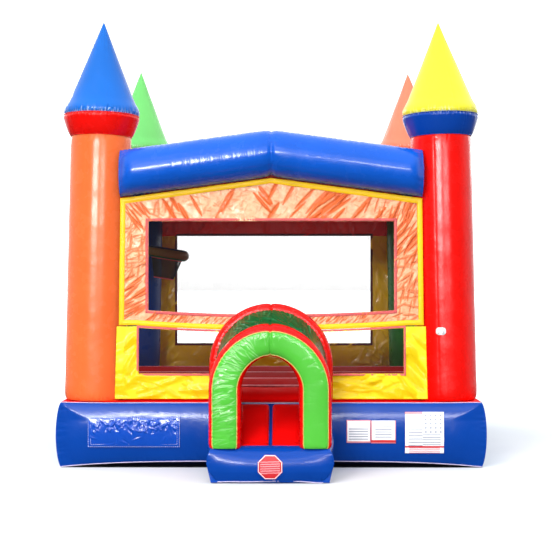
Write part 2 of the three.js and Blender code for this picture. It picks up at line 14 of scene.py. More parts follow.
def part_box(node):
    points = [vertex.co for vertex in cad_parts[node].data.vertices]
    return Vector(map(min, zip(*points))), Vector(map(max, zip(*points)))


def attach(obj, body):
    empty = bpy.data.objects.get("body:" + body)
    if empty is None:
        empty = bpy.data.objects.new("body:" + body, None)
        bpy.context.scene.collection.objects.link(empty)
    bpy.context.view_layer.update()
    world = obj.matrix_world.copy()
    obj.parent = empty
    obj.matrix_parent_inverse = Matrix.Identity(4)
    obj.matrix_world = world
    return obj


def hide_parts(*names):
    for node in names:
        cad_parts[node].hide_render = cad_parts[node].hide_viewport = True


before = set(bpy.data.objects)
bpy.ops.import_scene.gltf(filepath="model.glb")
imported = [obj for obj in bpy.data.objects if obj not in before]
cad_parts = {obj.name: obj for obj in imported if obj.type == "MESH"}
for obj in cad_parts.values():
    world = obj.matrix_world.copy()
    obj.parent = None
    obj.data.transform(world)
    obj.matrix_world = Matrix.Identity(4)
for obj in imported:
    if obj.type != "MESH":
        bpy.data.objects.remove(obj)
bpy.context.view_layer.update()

# ---------------------------------------------------------------- sizes, from the frame


def low(node):
    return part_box(node)[0]


def high(node):
    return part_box(node)[1]


def middle(node):
    return (low(node) + high(node)) / 2


LEAN = 0.0197
SEAM = high("base_underside").x
BULGE = high("base_right_wall").x - SEAM
BASE_TOP = high("base_front_wall").z + 0.0024
FLOOR_CREST = high("bounce_floor").z
FLOOR_VALLEY = FLOOR_CREST - 0.03
LOBE = 0.85
FLOOR_HALF_X = 1.69
FLOOR_HALF_Y = 1.78

COLUMN_RADIUS = 0.284
TOWER_OFFSET = high("column_front_right").x - COLUMN_RADIUS
COLUMN_HEIGHT = 3.068 - BASE_TOP
COLLAR_HEIGHT = 3.265 - BASE_TOP
CONE_HEIGHT = 4.146 - BASE_TOP
COLLAR_FOOT = 0.286
COLLAR_RADIUS = 0.364
FRONT_LEFT_SET = 0.011
REAR_RIGHT_SET = 0.018

BEAM_RADIUS = 0.207
BEAM_HALF = 1.400
BEAM_RISE = 0.189
BEAM_END_Z = high("left_beam").z - BEAM_RADIUS
BEAM_FULL = BEAM_RADIUS + 0.013
FRONT_BEAM_Y = 1.851 - LEAN * (BEAM_END_Z - BASE_TOP)
SIDE_BEAM_X = 1.715 - LEAN * (BEAM_END_Z - BASE_TOP)

WALL_Y = 1.851
WALL_X = 1.715
WALL_LOW = 0.020
SILL = 0.700
EAVE = 1.877
GABLE = 2.066
STRIP = 0.048
WINDOW = (-1.137, 1.137, 0.847, 1.664)
REAR_WINDOW = (-1.165, 1.165, 0.340, 1.633)
SIDE_WINDOW = (-1.120, 1.120, 0.340, 1.633)
LOWER_WINDOW = (0.583, 1.225, 0.255, 0.678)
BAR_SAG = 0.045

STEP_FRONT = low("step_block").y
STEP_SEAM = STEP_FRONT + 0.031
STEP_TOP = 0.290
STEP_REAR = high("step_block").y
RAMP_FOOT = -2.620
RAMP_TOP = 0.585
RAMP_RISE = (RAMP_TOP - STEP_TOP) / (STEP_REAR - RAMP_FOOT)
STEP_HALF = 0.505
STEP_LOW_HALF = 0.443

SIDES = (("left", -1), ("right", 1))
PIPING = 0.0055
HEM = 0.028

# ---------------------------------------------------------------- camera, floor and light

CAMERA_PLACE = Vector((0.1062, -13.8776, 1.7775))
CAMERA_YAW = -0.0051
CAMERA_PITCH = 0.0044
LENS = 84.86


def add_camera():
    data = bpy.data.cameras.new("photo_camera")
    data.lens = LENS
    data.sensor_width = 36
    data.clip_end = 500
    camera = bpy.data.objects.new("photo_camera", data)
    forward = Vector((CAMERA_YAW, 1, CAMERA_PITCH)).normalized()
    camera.location = CAMERA_PLACE
    camera.rotation_euler = forward.to_track_quat("-Z", "Y").to_euler()
    bpy.context.collection.objects.link(camera)
    bpy.context.scene.camera = camera


def add_light(name, place, aim, width, height, radiance, tint=(1, 1, 1), fills=True, shines=True):
    """A rectangular soft light of a given brightness, which fills, or shines in the gloss, or both."""
    data = bpy.data.lights.new(name, "AREA")
    data.shape = "RECTANGLE"
    data.size = width
    data.size_y = height
    data.energy = radiance * math.pi * width * height
    data.color = tint
    light = bpy.data.objects.new(name, data)
    light.location = place
    direction = Vector(aim) - Vector(place)
    light.rotation_euler = direction.to_track_quat("-Z", "Y").to_euler()
    light.visible_camera = False
    light.visible_diffuse = fills
    light.visible_glossy = shines
    bpy.context.collection.objects.link(light)


def add_lights():
    add_light("front_band_left", (-5.5, -24, 4.9), (0, 0, 1.8), 7.5, 1.7, 58.0)
    add_light("front_band_right", (5.0, -24, 4.9), (0, 0, 1.8), 7.0, 1.5, 21.0)
    add_light("shine_left", (-5.5, -23.8, 5.1), (0, 0, 1.8), 8.0, 2.6, 40.0, fills=False)
    add_light("shine_right", (5.0, -23.8, 5.1), (0, 0, 1.8), 7.0, 2.4, 20.0, fills=False)
    add_light("shine_high_left", (-4.5, -22, 10.5), (0, 0, 1.8), 9.0, 7.0, 5.0, fills=False)
    add_light("shine_high_right", (4.5, -22, 10.5), (0, 0, 1.8), 8.0, 6.0, 3.0, fills=False)
    add_light("low_fill", (0, -16, 1.2), (0, 0, 1.2), 5, 2, 10.0, shines=False)
    add_light("front_key", (-5.5, -12.5, 12.5), (0, 0, 1.5), 5, 5, 15.5, (1.0, 0.985, 0.96), shines=False)
    add_light("rear_left", (-9, 14, 7), (0, 0, 1.8), 5, 4, 6.0)
    add_light("rear_right", (11, 11, 6), (0, 0, 1.8), 4, 4, 5.0)


SKY_BELOW = 0.17
SKY_FRONT = 0.28
SKY_REAR = 1.5
SKY_ABOVE = 1.75
SKY_BLUE = (0.86, 0.94, 1.0, 1)


def ranged(tree, source, low_in, high_in, start, end):
    """A node that maps one range of values onto another."""
    node = tree.nodes.new("ShaderNodeMapRange")
    for key, value in zip(("From Min", "From Max", "To Min", "To Max"), (low_in, high_in, start, end)):
        node.inputs[key].default_value = value
    tree.links.new(source, node.inputs["Value"])
    return node


def add_world():
    """A soft backdrop: bright behind and above the object, dimmer low down on the entrance side."""
    world = bpy.data.worlds.new("soft_sky")
    world.use_nodes = True
    tree = world.node_tree
    nodes, links = tree.nodes, tree.links
    split = nodes.new("ShaderNodeSeparateXYZ")
    links.new(nodes.new("ShaderNodeTexCoord").outputs["Generated"], split.inputs[0])
    turn = ranged(tree, split.outputs["Y"], -0.45, 0.10, SKY_FRONT, SKY_REAR)
    climb = ranged(tree, split.outputs["Z"], 0.30, 0.60, 0, 1)
    climb.interpolation_type = "SMOOTHSTEP"
    sink = ranged(tree, split.outputs["Z"], 0.0, -0.12, 0, 1)
    around = nodes["Background"]
    around.inputs["Color"].default_value = (1, 1, 1, 1)
    links.new(turn.outputs[0], around.inputs["Strength"])
    surface = around
    for share, colour, strength in ((climb, SKY_BLUE, SKY_ABOVE), (sink, (1, 1, 1, 1), SKY_BELOW)):
        other = nodes.new("ShaderNodeBackground")
        other.inputs["Color"].default_value = colour
        other.inputs["Strength"].default_value = strength
        mix = nodes.new("ShaderNodeMixShader")
        links.new(share.outputs[0], mix.inputs[0])
        links.new(surface.outputs[0], mix.inputs[1])
        links.new(other.outputs[0], mix.inputs[2])
        surface = mix
    links.new(surface.outputs[0], nodes["World Output"].inputs["Surface"])
    bpy.context.scene.world = world
    bpy.context.scene.view_settings.view_transform = "Standard"


# ---------------------------------------------------------------- materials


def linear(red, green, blue):
    """A colour given as 0 to 255 in sRGB, as scene-linear RGBA."""
    def channel(value):
        value = value / 255
        return value / 12.92 if value <= 0.04045 else ((value + 0.055) / 1.055) ** 2.4
    return (channel(red), channel(green), channel(blue), 1)


class Shader:
    """A Principled material with a few shorthand nodes in object coordinates."""

    def __init__(self, name):
        self.material = bpy.data.materials.new(name)
        self.material.use_nodes = True
        tree = self.material.node_tree
        self.nodes = tree.nodes
        self.links = tree.links
        self.bsdf = tree.nodes["Principled BSDF"]
        self.coords = self.nodes.new("ShaderNodeTexCoord").outputs["Object"]

    def set(self, **values):
        for key, value in values.items():
            self.bsdf.inputs[key.replace("_", " ")].default_value = value

    def noise(self, scale, detail=2.0, roughness=0.5):
        node = self.nodes.new("ShaderNodeTexNoise")
        node.inputs["Scale"].default_value = scale
        node.inputs["Detail"].default_value = detail
        node.inputs["Roughness"].default_value = roughness
        self.links.new(self.coords, node.inputs["Vector"])
        return node.outputs["Fac"]

    def bands(self, scale, direction):
        node = self.nodes.new("ShaderNodeTexWave")
        node.bands_direction = direction
        node.inputs["Scale"].default_value = scale
        self.links.new(self.coords, node.inputs["Vector"])
        return node.outputs["Fac"]

    def product(self, first, second):
        node = self.nodes.new("ShaderNodeMath")
        node.operation = "MULTIPLY"
        self.links.new(first, node.inputs[0])
        self.links.new(second, node.inputs[1])
        return node.outputs[0]

    def span(self, source, start, end, low_in=0.3, high_in=0.7):
        return ranged(self.material.node_tree, source, low_in, high_in, start, end).outputs[0]

    def colour(self, source, first, second, low_in=0.35, high_in=0.65):
        ramp = self.nodes.new("ShaderNodeValToRGB")
        ramp.color_ramp.elements[0].position = low_in
        ramp.color_ramp.elements[0].color = first
        ramp.color_ramp.elements[1].position = high_in
        ramp.color_ramp.elements[1].color = second
        self.links.new(source, ramp.inputs[0])
        self.links.new(ramp.outputs[0], self.bsdf.inputs["Base Color"])

    def painted_fold_light(self, painted_fold_colour):
        """Blends the colour so far towards another one where the piece's crease attribute is high: painted
        light along its folds, a highlight when the other colour is paler and shade when it is darker.
        """
        attribute = self.nodes.new("ShaderNodeAttribute")
        attribute.attribute_name = "crease"
        mix = self.nodes.new("ShaderNodeMix")
        mix.data_type = "RGBA"
        self.links.new(attribute.outputs["Fac"], mix.inputs["Factor"])
        self.links.new(self.bsdf.inputs["Base Color"].links[0].from_socket, mix.inputs[6])
        mix.inputs[7].default_value = painted_fold_colour
        self.links.new(mix.outputs[2], self.bsdf.inputs["Base Color"])

    def roughness(self, source, start, end):
        self.links.new(self.span(source, start, end), self.bsdf.inputs["Roughness"])

    def bumps(self, layers):
        """Bump layers of (height source, strength, distance), coarse to fine."""
        normal = None
        for source, strength, distance in layers:
            node = self.nodes.new("ShaderNodeBump")
            node.inputs["Strength"].default_value = strength
            node.inputs["Distance"].default_value = distance
            self.links.new(source, node.inputs["Height"])
            if normal:
                self.links.new(normal, node.inputs["Normal"])
            normal = node.outputs[0]
        self.links.new(normal, self.bsdf.inputs["Normal"])


def darker(colour, share):
    return (colour[0] * share, colour[1] * share, colour[2] * share, 1)


def vinyl(name, colour, gloss=0.19, crinkle=0.16, coat=0.13, crease=None, shine=0.16, painted_glare_mottle=None):
    """Scrim-reinforced PVC: mottled colour, glossy coat, soft crinkles and a fine woven relief. A crease
    colour is painted along the folds that carry the crease attribute, as a painted highlight when paler and
    painted shade when darker; a glare mottle paints blotches of glare.
    """
    shader = Shader(name)
    if painted_glare_mottle:
        shader.colour(shader.noise(21.0, 4.0, 0.6), painted_glare_mottle, colour, 0.40, 0.60)
    else:
        shader.colour(shader.noise(2.3, 4.0), darker(colour, 0.93), darker(colour, 1.03))
    # painted light: the crease colour is blended in along the piece's folds
    if crease:
        shader.painted_fold_light(crease)
    shader.roughness(shader.noise(9.0, 3.0), gloss - 0.05, gloss + 0.08)
    weave = shader.product(shader.bands(170, "DIAGONAL"), shader.bands(170, "X"))
    shader.bumps([
        (shader.noise(17.0, 3.0, 0.55), crinkle, 0.010),
        (shader.noise(75.0, 2.0), 0.06, 0.002),
        (weave, 0.03, 0.0006),
    ])
    shader.set(Coat_Weight=coat, Coat_Roughness=0.12, IOR=1.5, Specular_IOR_Level=shine)
    return shader.material


def webbing(name, colour, roughness=0.75):
    """Woven tape or hem: ribbed along and across."""
    shader = Shader(name)
    shader.colour(shader.noise(30.0, 3.0), darker(colour, 0.80), colour)
    shader.roughness(shader.noise(60.0), roughness - 0.1, roughness + 0.1)
    ribs = shader.product(shader.bands(110, "X"), shader.bands(110, "Z"))
    shader.bumps([(shader.noise(40.0, 2.0), 0.25, 0.004), (ribs, 0.25, 0.0012)])
    return shader.material


def thread(name, colour):
    shader = Shader(name)
    shader.colour(shader.noise(90.0, 2.0), darker(colour, 0.7), colour)
    shader.roughness(shader.noise(120.0), 0.5, 0.75)
    shader.bumps([(shader.noise(500.0, 2.0), 0.3, 0.0005)])
    return shader.material


def printed(name, colour):
    """Printed label stock, slightly creased."""
    shader = Shader(name)
    shader.colour(shader.noise(14.0, 3.0), darker(colour, 0.93), colour)
    shader.roughness(shader.noise(25.0), 0.32, 0.52)
    shader.bumps([(shader.noise(22.0, 3.0), 0.15, 0.006), (shader.noise(260.0), 0.05, 0.0006)])
    return shader.material


def metal(name):
    shader = Shader(name)
    shader.colour(shader.noise(60.0, 4.0), linear(150, 152, 156), linear(205, 206, 210))
    shader.roughness(shader.noise(140.0, 3.0), 0.22, 0.40)
    shader.bumps([(shader.noise(300.0, 2.0), 0.08, 0.0004)])
    shader.set(Metallic=1.0)
    return shader.material


def pale_ground(name):
    """A pale studio floor with a painted glow that rises from 4 m to 13 m out, fading it into the backdrop.
    """
    shader = Shader(name)
    shader.colour(shader.noise(0.35, 3.0), linear(222, 222, 224), linear(230, 230, 231))
    shader.roughness(shader.noise(3.0), 0.8, 0.95)
    shader.bumps([(shader.noise(40.0), 0.04, 0.002)])
    # The floor glows with a painted light from 4 m out.
    far = shader.nodes.new("ShaderNodeVectorMath")
    far.operation = "LENGTH"
    shader.links.new(shader.coords, far.inputs[0])
    painted_glow = shader.span(far.outputs["Value"], 0.0, 1.0, 4.0, 13.0)
    shader.links.new(painted_glow, shader.bsdf.inputs["Emission Strength"])
    shader.bsdf.inputs["Emission Color"].default_value = (1, 1, 1, 1)
    return shader.material


# Pale colours painted along folds as glints: painted highlights.
GLINT_BLUE = linear(206, 224, 255)
GLINT_RED = linear(248, 120, 112)
GLINT_GREEN = linear(196, 236, 182)

RED = vinyl("red_skin", linear(228, 12, 6), 0.24, 0.16, 0.06, GLINT_RED)
ORANGE = vinyl("orange_skin", linear(232, 106, 52), 0.24, 0.16, 0.09)
YELLOW = vinyl("yellow_skin", linear(228, 220, 52), crease=linear(250, 250, 200))
BLUE = vinyl("blue_skin", linear(8, 84, 192), 0.23, 0.16, 0.24, GLINT_BLUE)
BASE_BLUE = vinyl("base_skin", linear(6, 63, 155), 0.19, 0.16, 0.10, GLINT_BLUE)
COLLAR_BLUE = vinyl("blue_skin_collar", linear(6, 62, 156), crease=GLINT_BLUE)
CONE_BLUE = vinyl("blue_skin_cone", linear(14, 97, 187), crease=GLINT_BLUE)
# Darker copies of the blue and green for the rear columns: painted shade.
REAR_BLUE_PAINTED_SHADE = vinyl("blue_skin_rear", linear(6, 54, 132), 0.30, 0.16, 0.05)
REAR_GREEN_PAINTED_SHADE = vinyl("green_skin_rear", linear(44, 124, 50), 0.30, 0.16, 0.05)
GREEN = vinyl("green_skin", linear(82, 184, 60), crease=GLINT_GREEN)
PALE_GREEN = vinyl("green_skin_pale", linear(112, 208, 110), crease=GLINT_GREEN)
PALE_ORANGE = vinyl("orange_skin_pale", linear(228, 132, 100))
PAD_RED = vinyl("pad_skin", linear(242, 8, 8), 0.55, 0.16, 0.0, None, 0.05)
# The canopy's paler crease colour is painted along its creases: painted glints.
DARK_GREEN = vinyl("dark_green_skin", linear(14, 88, 42), 0.30, 0.3, 0.10, linear(84, 160, 104), 0.14)
# The strip of floor facing the door gets a brighter copy of the floor red: painted light.
FLOOR_RED = vinyl("floor_skin", linear(178, 8, 12), 0.65, 0.16, 0.0, None, 0.02)
FLOOR_RED_PAINTED_LIGHT = vinyl("floor_edge_skin", linear(250, 12, 12), 0.60, 0.16, 0.0, None, 0.02)
# The banner's peach colour and its blotches are painted glare; its folds are painted in a deeper orange:
# painted shade.
BANNER_ORANGE_PAINTED_GLARE = vinyl("banner_skin", linear(237, 181, 138), 0.24, 0.24, 0.06, linear(220, 100, 48), 0.10,
                      linear(230, 154, 112))
# The lower panels' darker crease colour is painted shade in their folds.
PANEL_YELLOW = vinyl("panel_skin", linear(234, 226, 40), 0.27, 0.20, 0.05, linear(222, 182, 4), 0.07)
UNDERSIDE = vinyl("underside_skin", linear(24, 26, 34), 0.55)
DARK_TUCK = vinyl("tuck_skin", linear(4, 20, 62), 0.5, 0.16, 0.0)
POCKET_FILM = vinyl("pocket_film", linear(8, 72, 180), 0.15, 0.3, 0.45, None, 0.3)
WALL_YELLOW = vinyl("wall_skin", linear(226, 184, 28), 0.30, 0.22)
# Darkened yellow and blue for the hoop: painted shade.
HOOP_YELLOW_PAINTED_SHADE = vinyl("hoop_amber", linear(110, 82, 34), 0.45, 0.16, 0.05)
HOOP_BLUE_PAINTED_SHADE = vinyl("hoop_navy", linear(12, 22, 56), 0.45, 0.16, 0.05)
CORAL = webbing("coral_hem", linear(226, 96, 96))
MAROON = webbing("maroon_hem", linear(90, 12, 14))
BORDER = vinyl("border_skin", linear(250, 200, 30), 0.36, 0.20, 0.05, None, 0.07)
PALE_PIPING = webbing("pale_cord", linear(204, 190, 222), 0.45)
RED_PIPING = vinyl("red_cord", linear(206, 30, 26), 0.4)
TAN_PIPING = webbing("tan_piping", linear(204, 184, 84), 0.45)
PINK_SEAM = webbing("pink_seam", linear(240, 150, 160), 0.5)
BLACK_WEB = webbing("black_web", linear(26, 26, 30))
WHITE_WEB = webbing("white_web", linear(238, 238, 240))
NET = thread("net_thread", linear(34, 34, 38))
HOOP_CORD = thread("hoop_cord", linear(22, 22, 26))
STITCH = thread("stitch_thread", linear(214, 222, 244))
DARK_STITCH = thread("dark_stitch", linear(140, 34, 30))
LABEL_WHITE = printed("label_white", linear(250, 250, 252))
LABEL_GREY = printed("label_grey", linear(132, 140, 160))
LABEL_PINK = printed("label_pink", linear(238, 150, 158))
LABEL_RED = printed("label_red", linear(206, 24, 34))
STEEL = metal("bright_steel")

# ---------------------------------------------------------------- mesh helpers


def cell_value(x, y, z, seed):
    """A repeatable number from -1 to 1 for every whole-number cell."""
    mixed = (x * 374761393 + y * 668265263 + z * 1103515245 + seed * 974711) & 0xFFFFFFFF
    mixed = ((mixed ^ (mixed >> 13)) * 1274126177) & 0xFFFFFFFF
    return ((mixed ^ (mixed >> 16)) & 0xFFFF) / 32767.5 - 1


def noise(points, size, seed):
    """Smooth noise from about -1 to 1, with lumps of the given size."""
    scaled = points / size
    base = np.floor(scaled).astype(np.int64)
    part = scaled - base
    part = part * part * (3 - 2 * part)
    total = np.zeros(points.shape[:-1])
    for corner in itertools.product((0, 1), repeat=3):
        weight = np.ones_like(total)
        for axis in range(3):
            share = part[..., axis]
            weight = weight * (share if corner[axis] else 1 - share)
        cell = base + np.array(corner)
        total += weight * cell_value(cell[..., 0], cell[..., 1], cell[..., 2], seed)
    return total


def xyz(x, y, z):
    """Points from arrays or numbers for each axis."""
    return np.stack(np.broadcast_arrays(x, y, z), axis=-1)


def circle(count):
    return np.linspace(0, 2 * np.pi, count, endpoint=False)


def angle_from(turn, seam):
    """The signed angle from a seam, between minus and plus half a turn."""
    return (turn - seam + np.pi) % (2 * np.pi) - np.pi


def signed_power(value, power):
    return np.sign(value) * np.abs(value) ** power


def eased(value, start, end):
    share = np.clip((value - start) / (end - start), 0, 1)
    return share * share * (3 - 2 * share)


def crowded(count, pull):
    """Shares from 0 to 1 that lie closer together near both ends."""
    even = np.linspace(0, 1, count)
    return even * (1 - pull) + pull * (1 - np.cos(np.pi * even)) / 2


def puckers(along, away, spacing, reach, depth, seed, period=None):
    """Narrow folds that start at a seam (away = 0) and fade out; positive is inwards."""
    rng = np.random.default_rng(seed)
    start = along.min()
    count = max(int((period or np.ptp(along)) / spacing), 1)
    total = np.zeros(np.broadcast(along, away).shape)
    for index in range(count):
        centre = start + (index + rng.uniform(0.1, 0.9)) * spacing
        width = spacing * rng.uniform(0.13, 0.30)
        length = reach * rng.uniform(0.3, 1.0)
        skew = rng.uniform(-0.35, 0.35)
        strength = rng.uniform(0.25, 1.0)
        offset = along - centre - skew * away
        if period:
            offset = (offset + period / 2) % period - period / 2
        near = np.abs(offset) < 3 * width
        fold = np.exp(-(offset / width) ** 2) * np.exp(-(away / length) ** 2)
        total += np.where(near, strength * fold, 0)
    return depth * total


def folds(across, height, specs, seed):
    """Sharp straight creases. Each spec: (box, count, angle, spread, length, width, depth)."""
    return folds_and_painted_light(across, height, specs, seed)[0]


def folds_and_painted_light(across, height, specs, seed):
    """Creases as above, and how strongly each point is painted in a crease colour along them, a painted
    highlight or painted shade, by an eighth number in a spec.
    """
    rng = np.random.default_rng(seed)
    total = np.zeros(across.shape)
    painted_light = np.zeros(across.shape)
    for (x0, x1, z0, z1), count, angle, spread, length, width, depth, *light_paint in specs:
        for _ in range(count):
            centre_x = rng.uniform(x0, x1)
            centre_z = rng.uniform(z0, z1)
            turn = math.radians(angle + rng.uniform(-spread, spread))
            half = length * rng.uniform(0.45, 1.0) / 2
            wide = width * rng.uniform(0.5, 1.15)
            tall = depth * rng.choice((-1, 1)) * rng.uniform(0.4, 1.0)
            dx = across - centre_x
            dz = height - centre_z
            along = dx * math.cos(turn) + dz * math.sin(turn)
            off = dz * math.cos(turn) - dx * math.sin(turn)
            taper = np.clip(1 - (along / half) ** 2, 0, 1)
            ridge = np.clip(1 - np.abs(off) / (wide * (0.35 + 0.65 * taper)), 0, 1)
            total += tall * ridge * np.sqrt(taper)
            if light_paint:
                painted_light = np.maximum(painted_light, light_paint[0] * np.clip(2.2 * ridge, 0, 1) * (taper > 0))
    return total, painted_light


def run_along(line):
    """The distance along a line of pairs from its start to each of its points."""
    return np.concatenate([[0], np.cumsum(np.hypot(*np.diff(line, axis=0).T))])


# Stores how strongly each point carries its material's crease colour: painted light.
def set_painted_light(piece, painted_light):
    attribute = piece.data.attributes.new("crease", "FLOAT", "POINT")
    attribute.data.foreach_set("value", np.ascontiguousarray(painted_light, dtype=np.float32).reshape(-1))


def grid_faces(rows, cols, wrap_rows, wrap_cols):
    row, col = np.meshgrid(
        np.arange(rows if wrap_rows else rows - 1),
        np.arange(cols if wrap_cols else cols - 1),
        indexing="ij",
    )
    next_row = (row + 1) % rows
    next_col = (col + 1) % cols
    corners = [row * cols + col, row * cols + next_col, next_row * cols + next_col, next_row * cols + col]
    return np.stack(corners, axis=-1).reshape(-1, 4)


def tube_faces(rows, cols, closed=False):
    """Faces of a tube's rings, with a face across both ends unless it closes in a loop."""
    faces = grid_faces(rows, cols, closed, True)[:, ::-1].tolist()
    if not closed:
        last = (rows - 1) * cols
        faces.append(list(range(cols)))
        faces.append([last + index for index in reversed(range(cols))])
    return faces


def add_piece(name, points, faces, materials, body="root", nodes=(), indices=None):
    """A smooth mesh piece that rides on a body, and stands for the given CAD nodes."""
    mesh = bpy.data.meshes.new(name)
    face_list = faces.tolist() if isinstance(faces, np.ndarray) else faces
    mesh.from_pydata(np.asarray(points).reshape(-1, 3).tolist(), [], face_list)
    for material in materials if isinstance(materials, (list, tuple)) else [materials]:
        mesh.materials.append(material)
    if indices is not None:
        mesh.polygons.foreach_set("material_index", np.asarray(indices, dtype=np.int32))
    mesh.polygons.foreach_set("use_smooth", np.ones(len(mesh.polygons), dtype=bool))
    mesh.update()
    piece = bpy.data.objects.new(name, mesh)
    bpy.context.collection.objects.link(piece)
    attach(piece, body)
    if nodes:
        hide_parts(*nodes)
    return piece


def add_grid(name, points, material, nodes=(), wrap_rows=False, wrap_cols=False, body="root",
             indices=None, thick=0):
    rows, cols = points.shape[:2]
    faces = grid_faces(rows, cols, wrap_rows, wrap_cols)
    piece = add_piece(name, points, faces, material, body, nodes, indices)
    if thick:
        solid = piece.modifiers.new("thickness", "SOLIDIFY")
        solid.thickness = thick
        solid.offset = 0
    return piece


class Soup:
    """Many small parts gathered into one mesh."""

    def __init__(self):
        self.points = []
        self.faces = []
        self.size = 0

    def add(self, points, faces):
        points = np.asarray(points).reshape(-1, 3)
        self.points.append(points)
        self.faces.extend([[corner + self.size for corner in face] for face in faces])
        self.size += len(points)

    def tube(self, path, radius, up=(0, 0, 1), sides=8, closed=False, flat=1.0):
        """A round or flattened tube along a path; up is never along the path."""
        path = np.asarray(path, dtype=float)
        if closed:
            tangent = np.roll(path, -1, axis=0) - np.roll(path, 1, axis=0)
        else:
            tangent = np.gradient(path, axis=0)
        tangent /= np.linalg.norm(tangent, axis=1, keepdims=True)
        side = np.cross(tangent, np.asarray(up, dtype=float))
        side /= np.linalg.norm(side, axis=1, keepdims=True)
        other = np.cross(side, tangent)
        turn = 2 * np.pi * np.arange(sides) / sides
        ring = side[:, None] * np.cos(turn)[None, :, None]
        ring = ring + flat * other[:, None] * np.sin(turn)[None, :, None]
        self.add(path[:, None] + radius * ring, tube_faces(len(path), sides, closed))

    def piece(self, name, material, slot, body="root", nodes=()):
        return add_piece(name, np.concatenate(self.points), self.faces, material, body, nodes)


def area_of(outline):
    x, y = np.asarray(outline).T
    return abs(np.dot(x, np.roll(y, -1)) - np.dot(y, np.roll(x, -1))) / 2


# ---------------------------------------------------------------- walls as leaning planes

WALLS = {
    "front": ((0, -WALL_Y), (1, 0), (0, -1)),
    "rear": ((0, WALL_Y), (1, 0), (0, 1)),
    "left": ((-WALL_X, 0), (0, 1), (-1, 0)),
    "right": ((WALL_X, 0), (0, 1), (1, 0)),
}


def on_wall(side, across, height, out):
    """Points on a wall: along it, up from the base's top, and proud of it."""
    place, tangent, outward = WALLS[side]
    leaned = out * math.cos(LEAN) - height * math.sin(LEAN)
    up = BASE_TOP + height * math.cos(LEAN) + out * math.sin(LEAN)
    x = place[0] + across * tangent[0] + leaned * outward[0]
    y = place[1] + across * tangent[1] + leaned * outward[1]
    return xyz(x, y, up)


def side_loop(corners, counts, apex=None):
    """Points round a four-cornered outline, from the low left, with an optional gabled top."""
    points = []
    for index, count in enumerate(counts):
        start = np.array(corners[index])
        end = np.array(corners[(index + 1) % 4])
        share = np.linspace(0, 1, count, endpoint=False)[:, None]
        edge = start + (end - start) * share
        if apex and index == 2:
            half = abs(start[0])
            edge[:, 1] = start[1] + (apex - start[1]) * (1 - np.abs(edge[:, 0]) / half)
        points.append(edge)
    return np.concatenate(points)


def box_corners(box):
    x0, x1, z0, z1 = box
    return [(x0, z0), (x1, z0), (x1, z1), (x0, z1)]


def grown(box, by):
    x0, x1, z0, z1 = box
    return (x0 - by, x1 + by, z0 - by, z1 + by)


def between(inner, outer, rows):
    """A grid of plan points from one loop to another."""
    share = np.linspace(0, 1, rows)[:, None, None]
    return inner[None] * (1 - share) + outer[None] * share


def bar_sag(across, height):
    """The bar between the front windows hangs a little lower in the middle."""
    near_bar = eased(height, 0.30, 0.66) * (1 - eased(height, 0.86, 1.5))
    return -BAR_SAG * near_bar * np.clip(1 - (across / 1.25) ** 2, 0, 1)


def front_points(across, height, out):
    return on_wall("front", across, height + bar_sag(across, height), out)


# ---------------------------------------------------------------- base

BASE_SEED = 20


def base_edge_wave(across, seed):
    return noise(xyz(across, seed, 0), 0.55, seed)


def turned_quarter(points, quarters):
    angle = quarters * math.pi / 2
    x = points[..., 0] * math.cos(angle) - points[..., 1] * math.sin(angle)
    y = points[..., 0] * math.sin(angle) + points[..., 1] * math.cos(angle)
    return xyz(x, y, points[..., 2])


def base_bottom(across):
    """The lower seam lifts off the ground between the corners."""
    return 0.006 + 0.052 * np.clip(1 - (across / SEAM) ** 4, 0, 1)


def base_top_edge(across, seed):
    dip = 0.006 * (1 + base_edge_wave(across, seed))
    return BASE_TOP - 0.004 - dip * np.clip(1 - (across / SEAM) ** 6, 0, 1)


def base_skin(across, share, seed, side_wall=False):
    """Along, outwards and up on one bulged wall; the corner seams bow out with the air."""
    bottom = base_bottom(across)
    top = base_top_edge(across, seed)
    height = bottom + (top - bottom) * share
    round_up = (4 * share * (1 - share)) ** 0.62
    from_middle = np.abs(across) / SEAM
    facet = 0.004 + 0.14 * np.clip((1 - share) / 0.27, 0, 1)
    near_corner = np.clip((from_middle - 1 + facet) / facet, 0, 1) ** 1.3
    retreat, spread = (0.04, 0.10) if side_wall else (0.90, 0.96)
    out = SEAM + BULGE * round_up * (1 - retreat * near_corner)
    along = across + np.sign(across) * spread * BULGE * round_up * from_middle ** 8
    return along, out, height


def add_base_wall(label, quarters, seed):
    across, share = np.meshgrid(SEAM * (2 * crowded(330, 0.35) - 1), crowded(56, 0.6))
    along, out, height = base_skin(across, share, seed, quarters % 2 == 1)
    fold = puckers(across, (1 - share) * BASE_TOP, 0.055, 0.075, 0.0055, seed)
    fold += puckers(across, share * BASE_TOP, 0.055, 0.080, 0.0060, seed + 1)
    fold += puckers(height, SEAM - across, 0.040, 0.085, 0.0075, seed + 2)
    fold += puckers(height, SEAM + across, 0.040, 0.085, 0.0075, seed + 3)
    points = xyz(along, -out, height)
    soft = noise(points, 0.42, seed + 4) * 0.006 + noise(points, 0.13, seed + 5) * 0.0016
    inside = np.clip(4 * share * (1 - share), 0, 1)
    pinned = np.clip((1 - np.abs(across) / SEAM) / 0.01, 0, 1)
    points[..., 1] += (fold * np.sqrt(inside + 0.05) + soft * inside) * pinned
    add_grid(f"base_{label}_skin", turned_quarter(points, quarters), BASE_BLUE,
             [f"base_{label}_wall"])


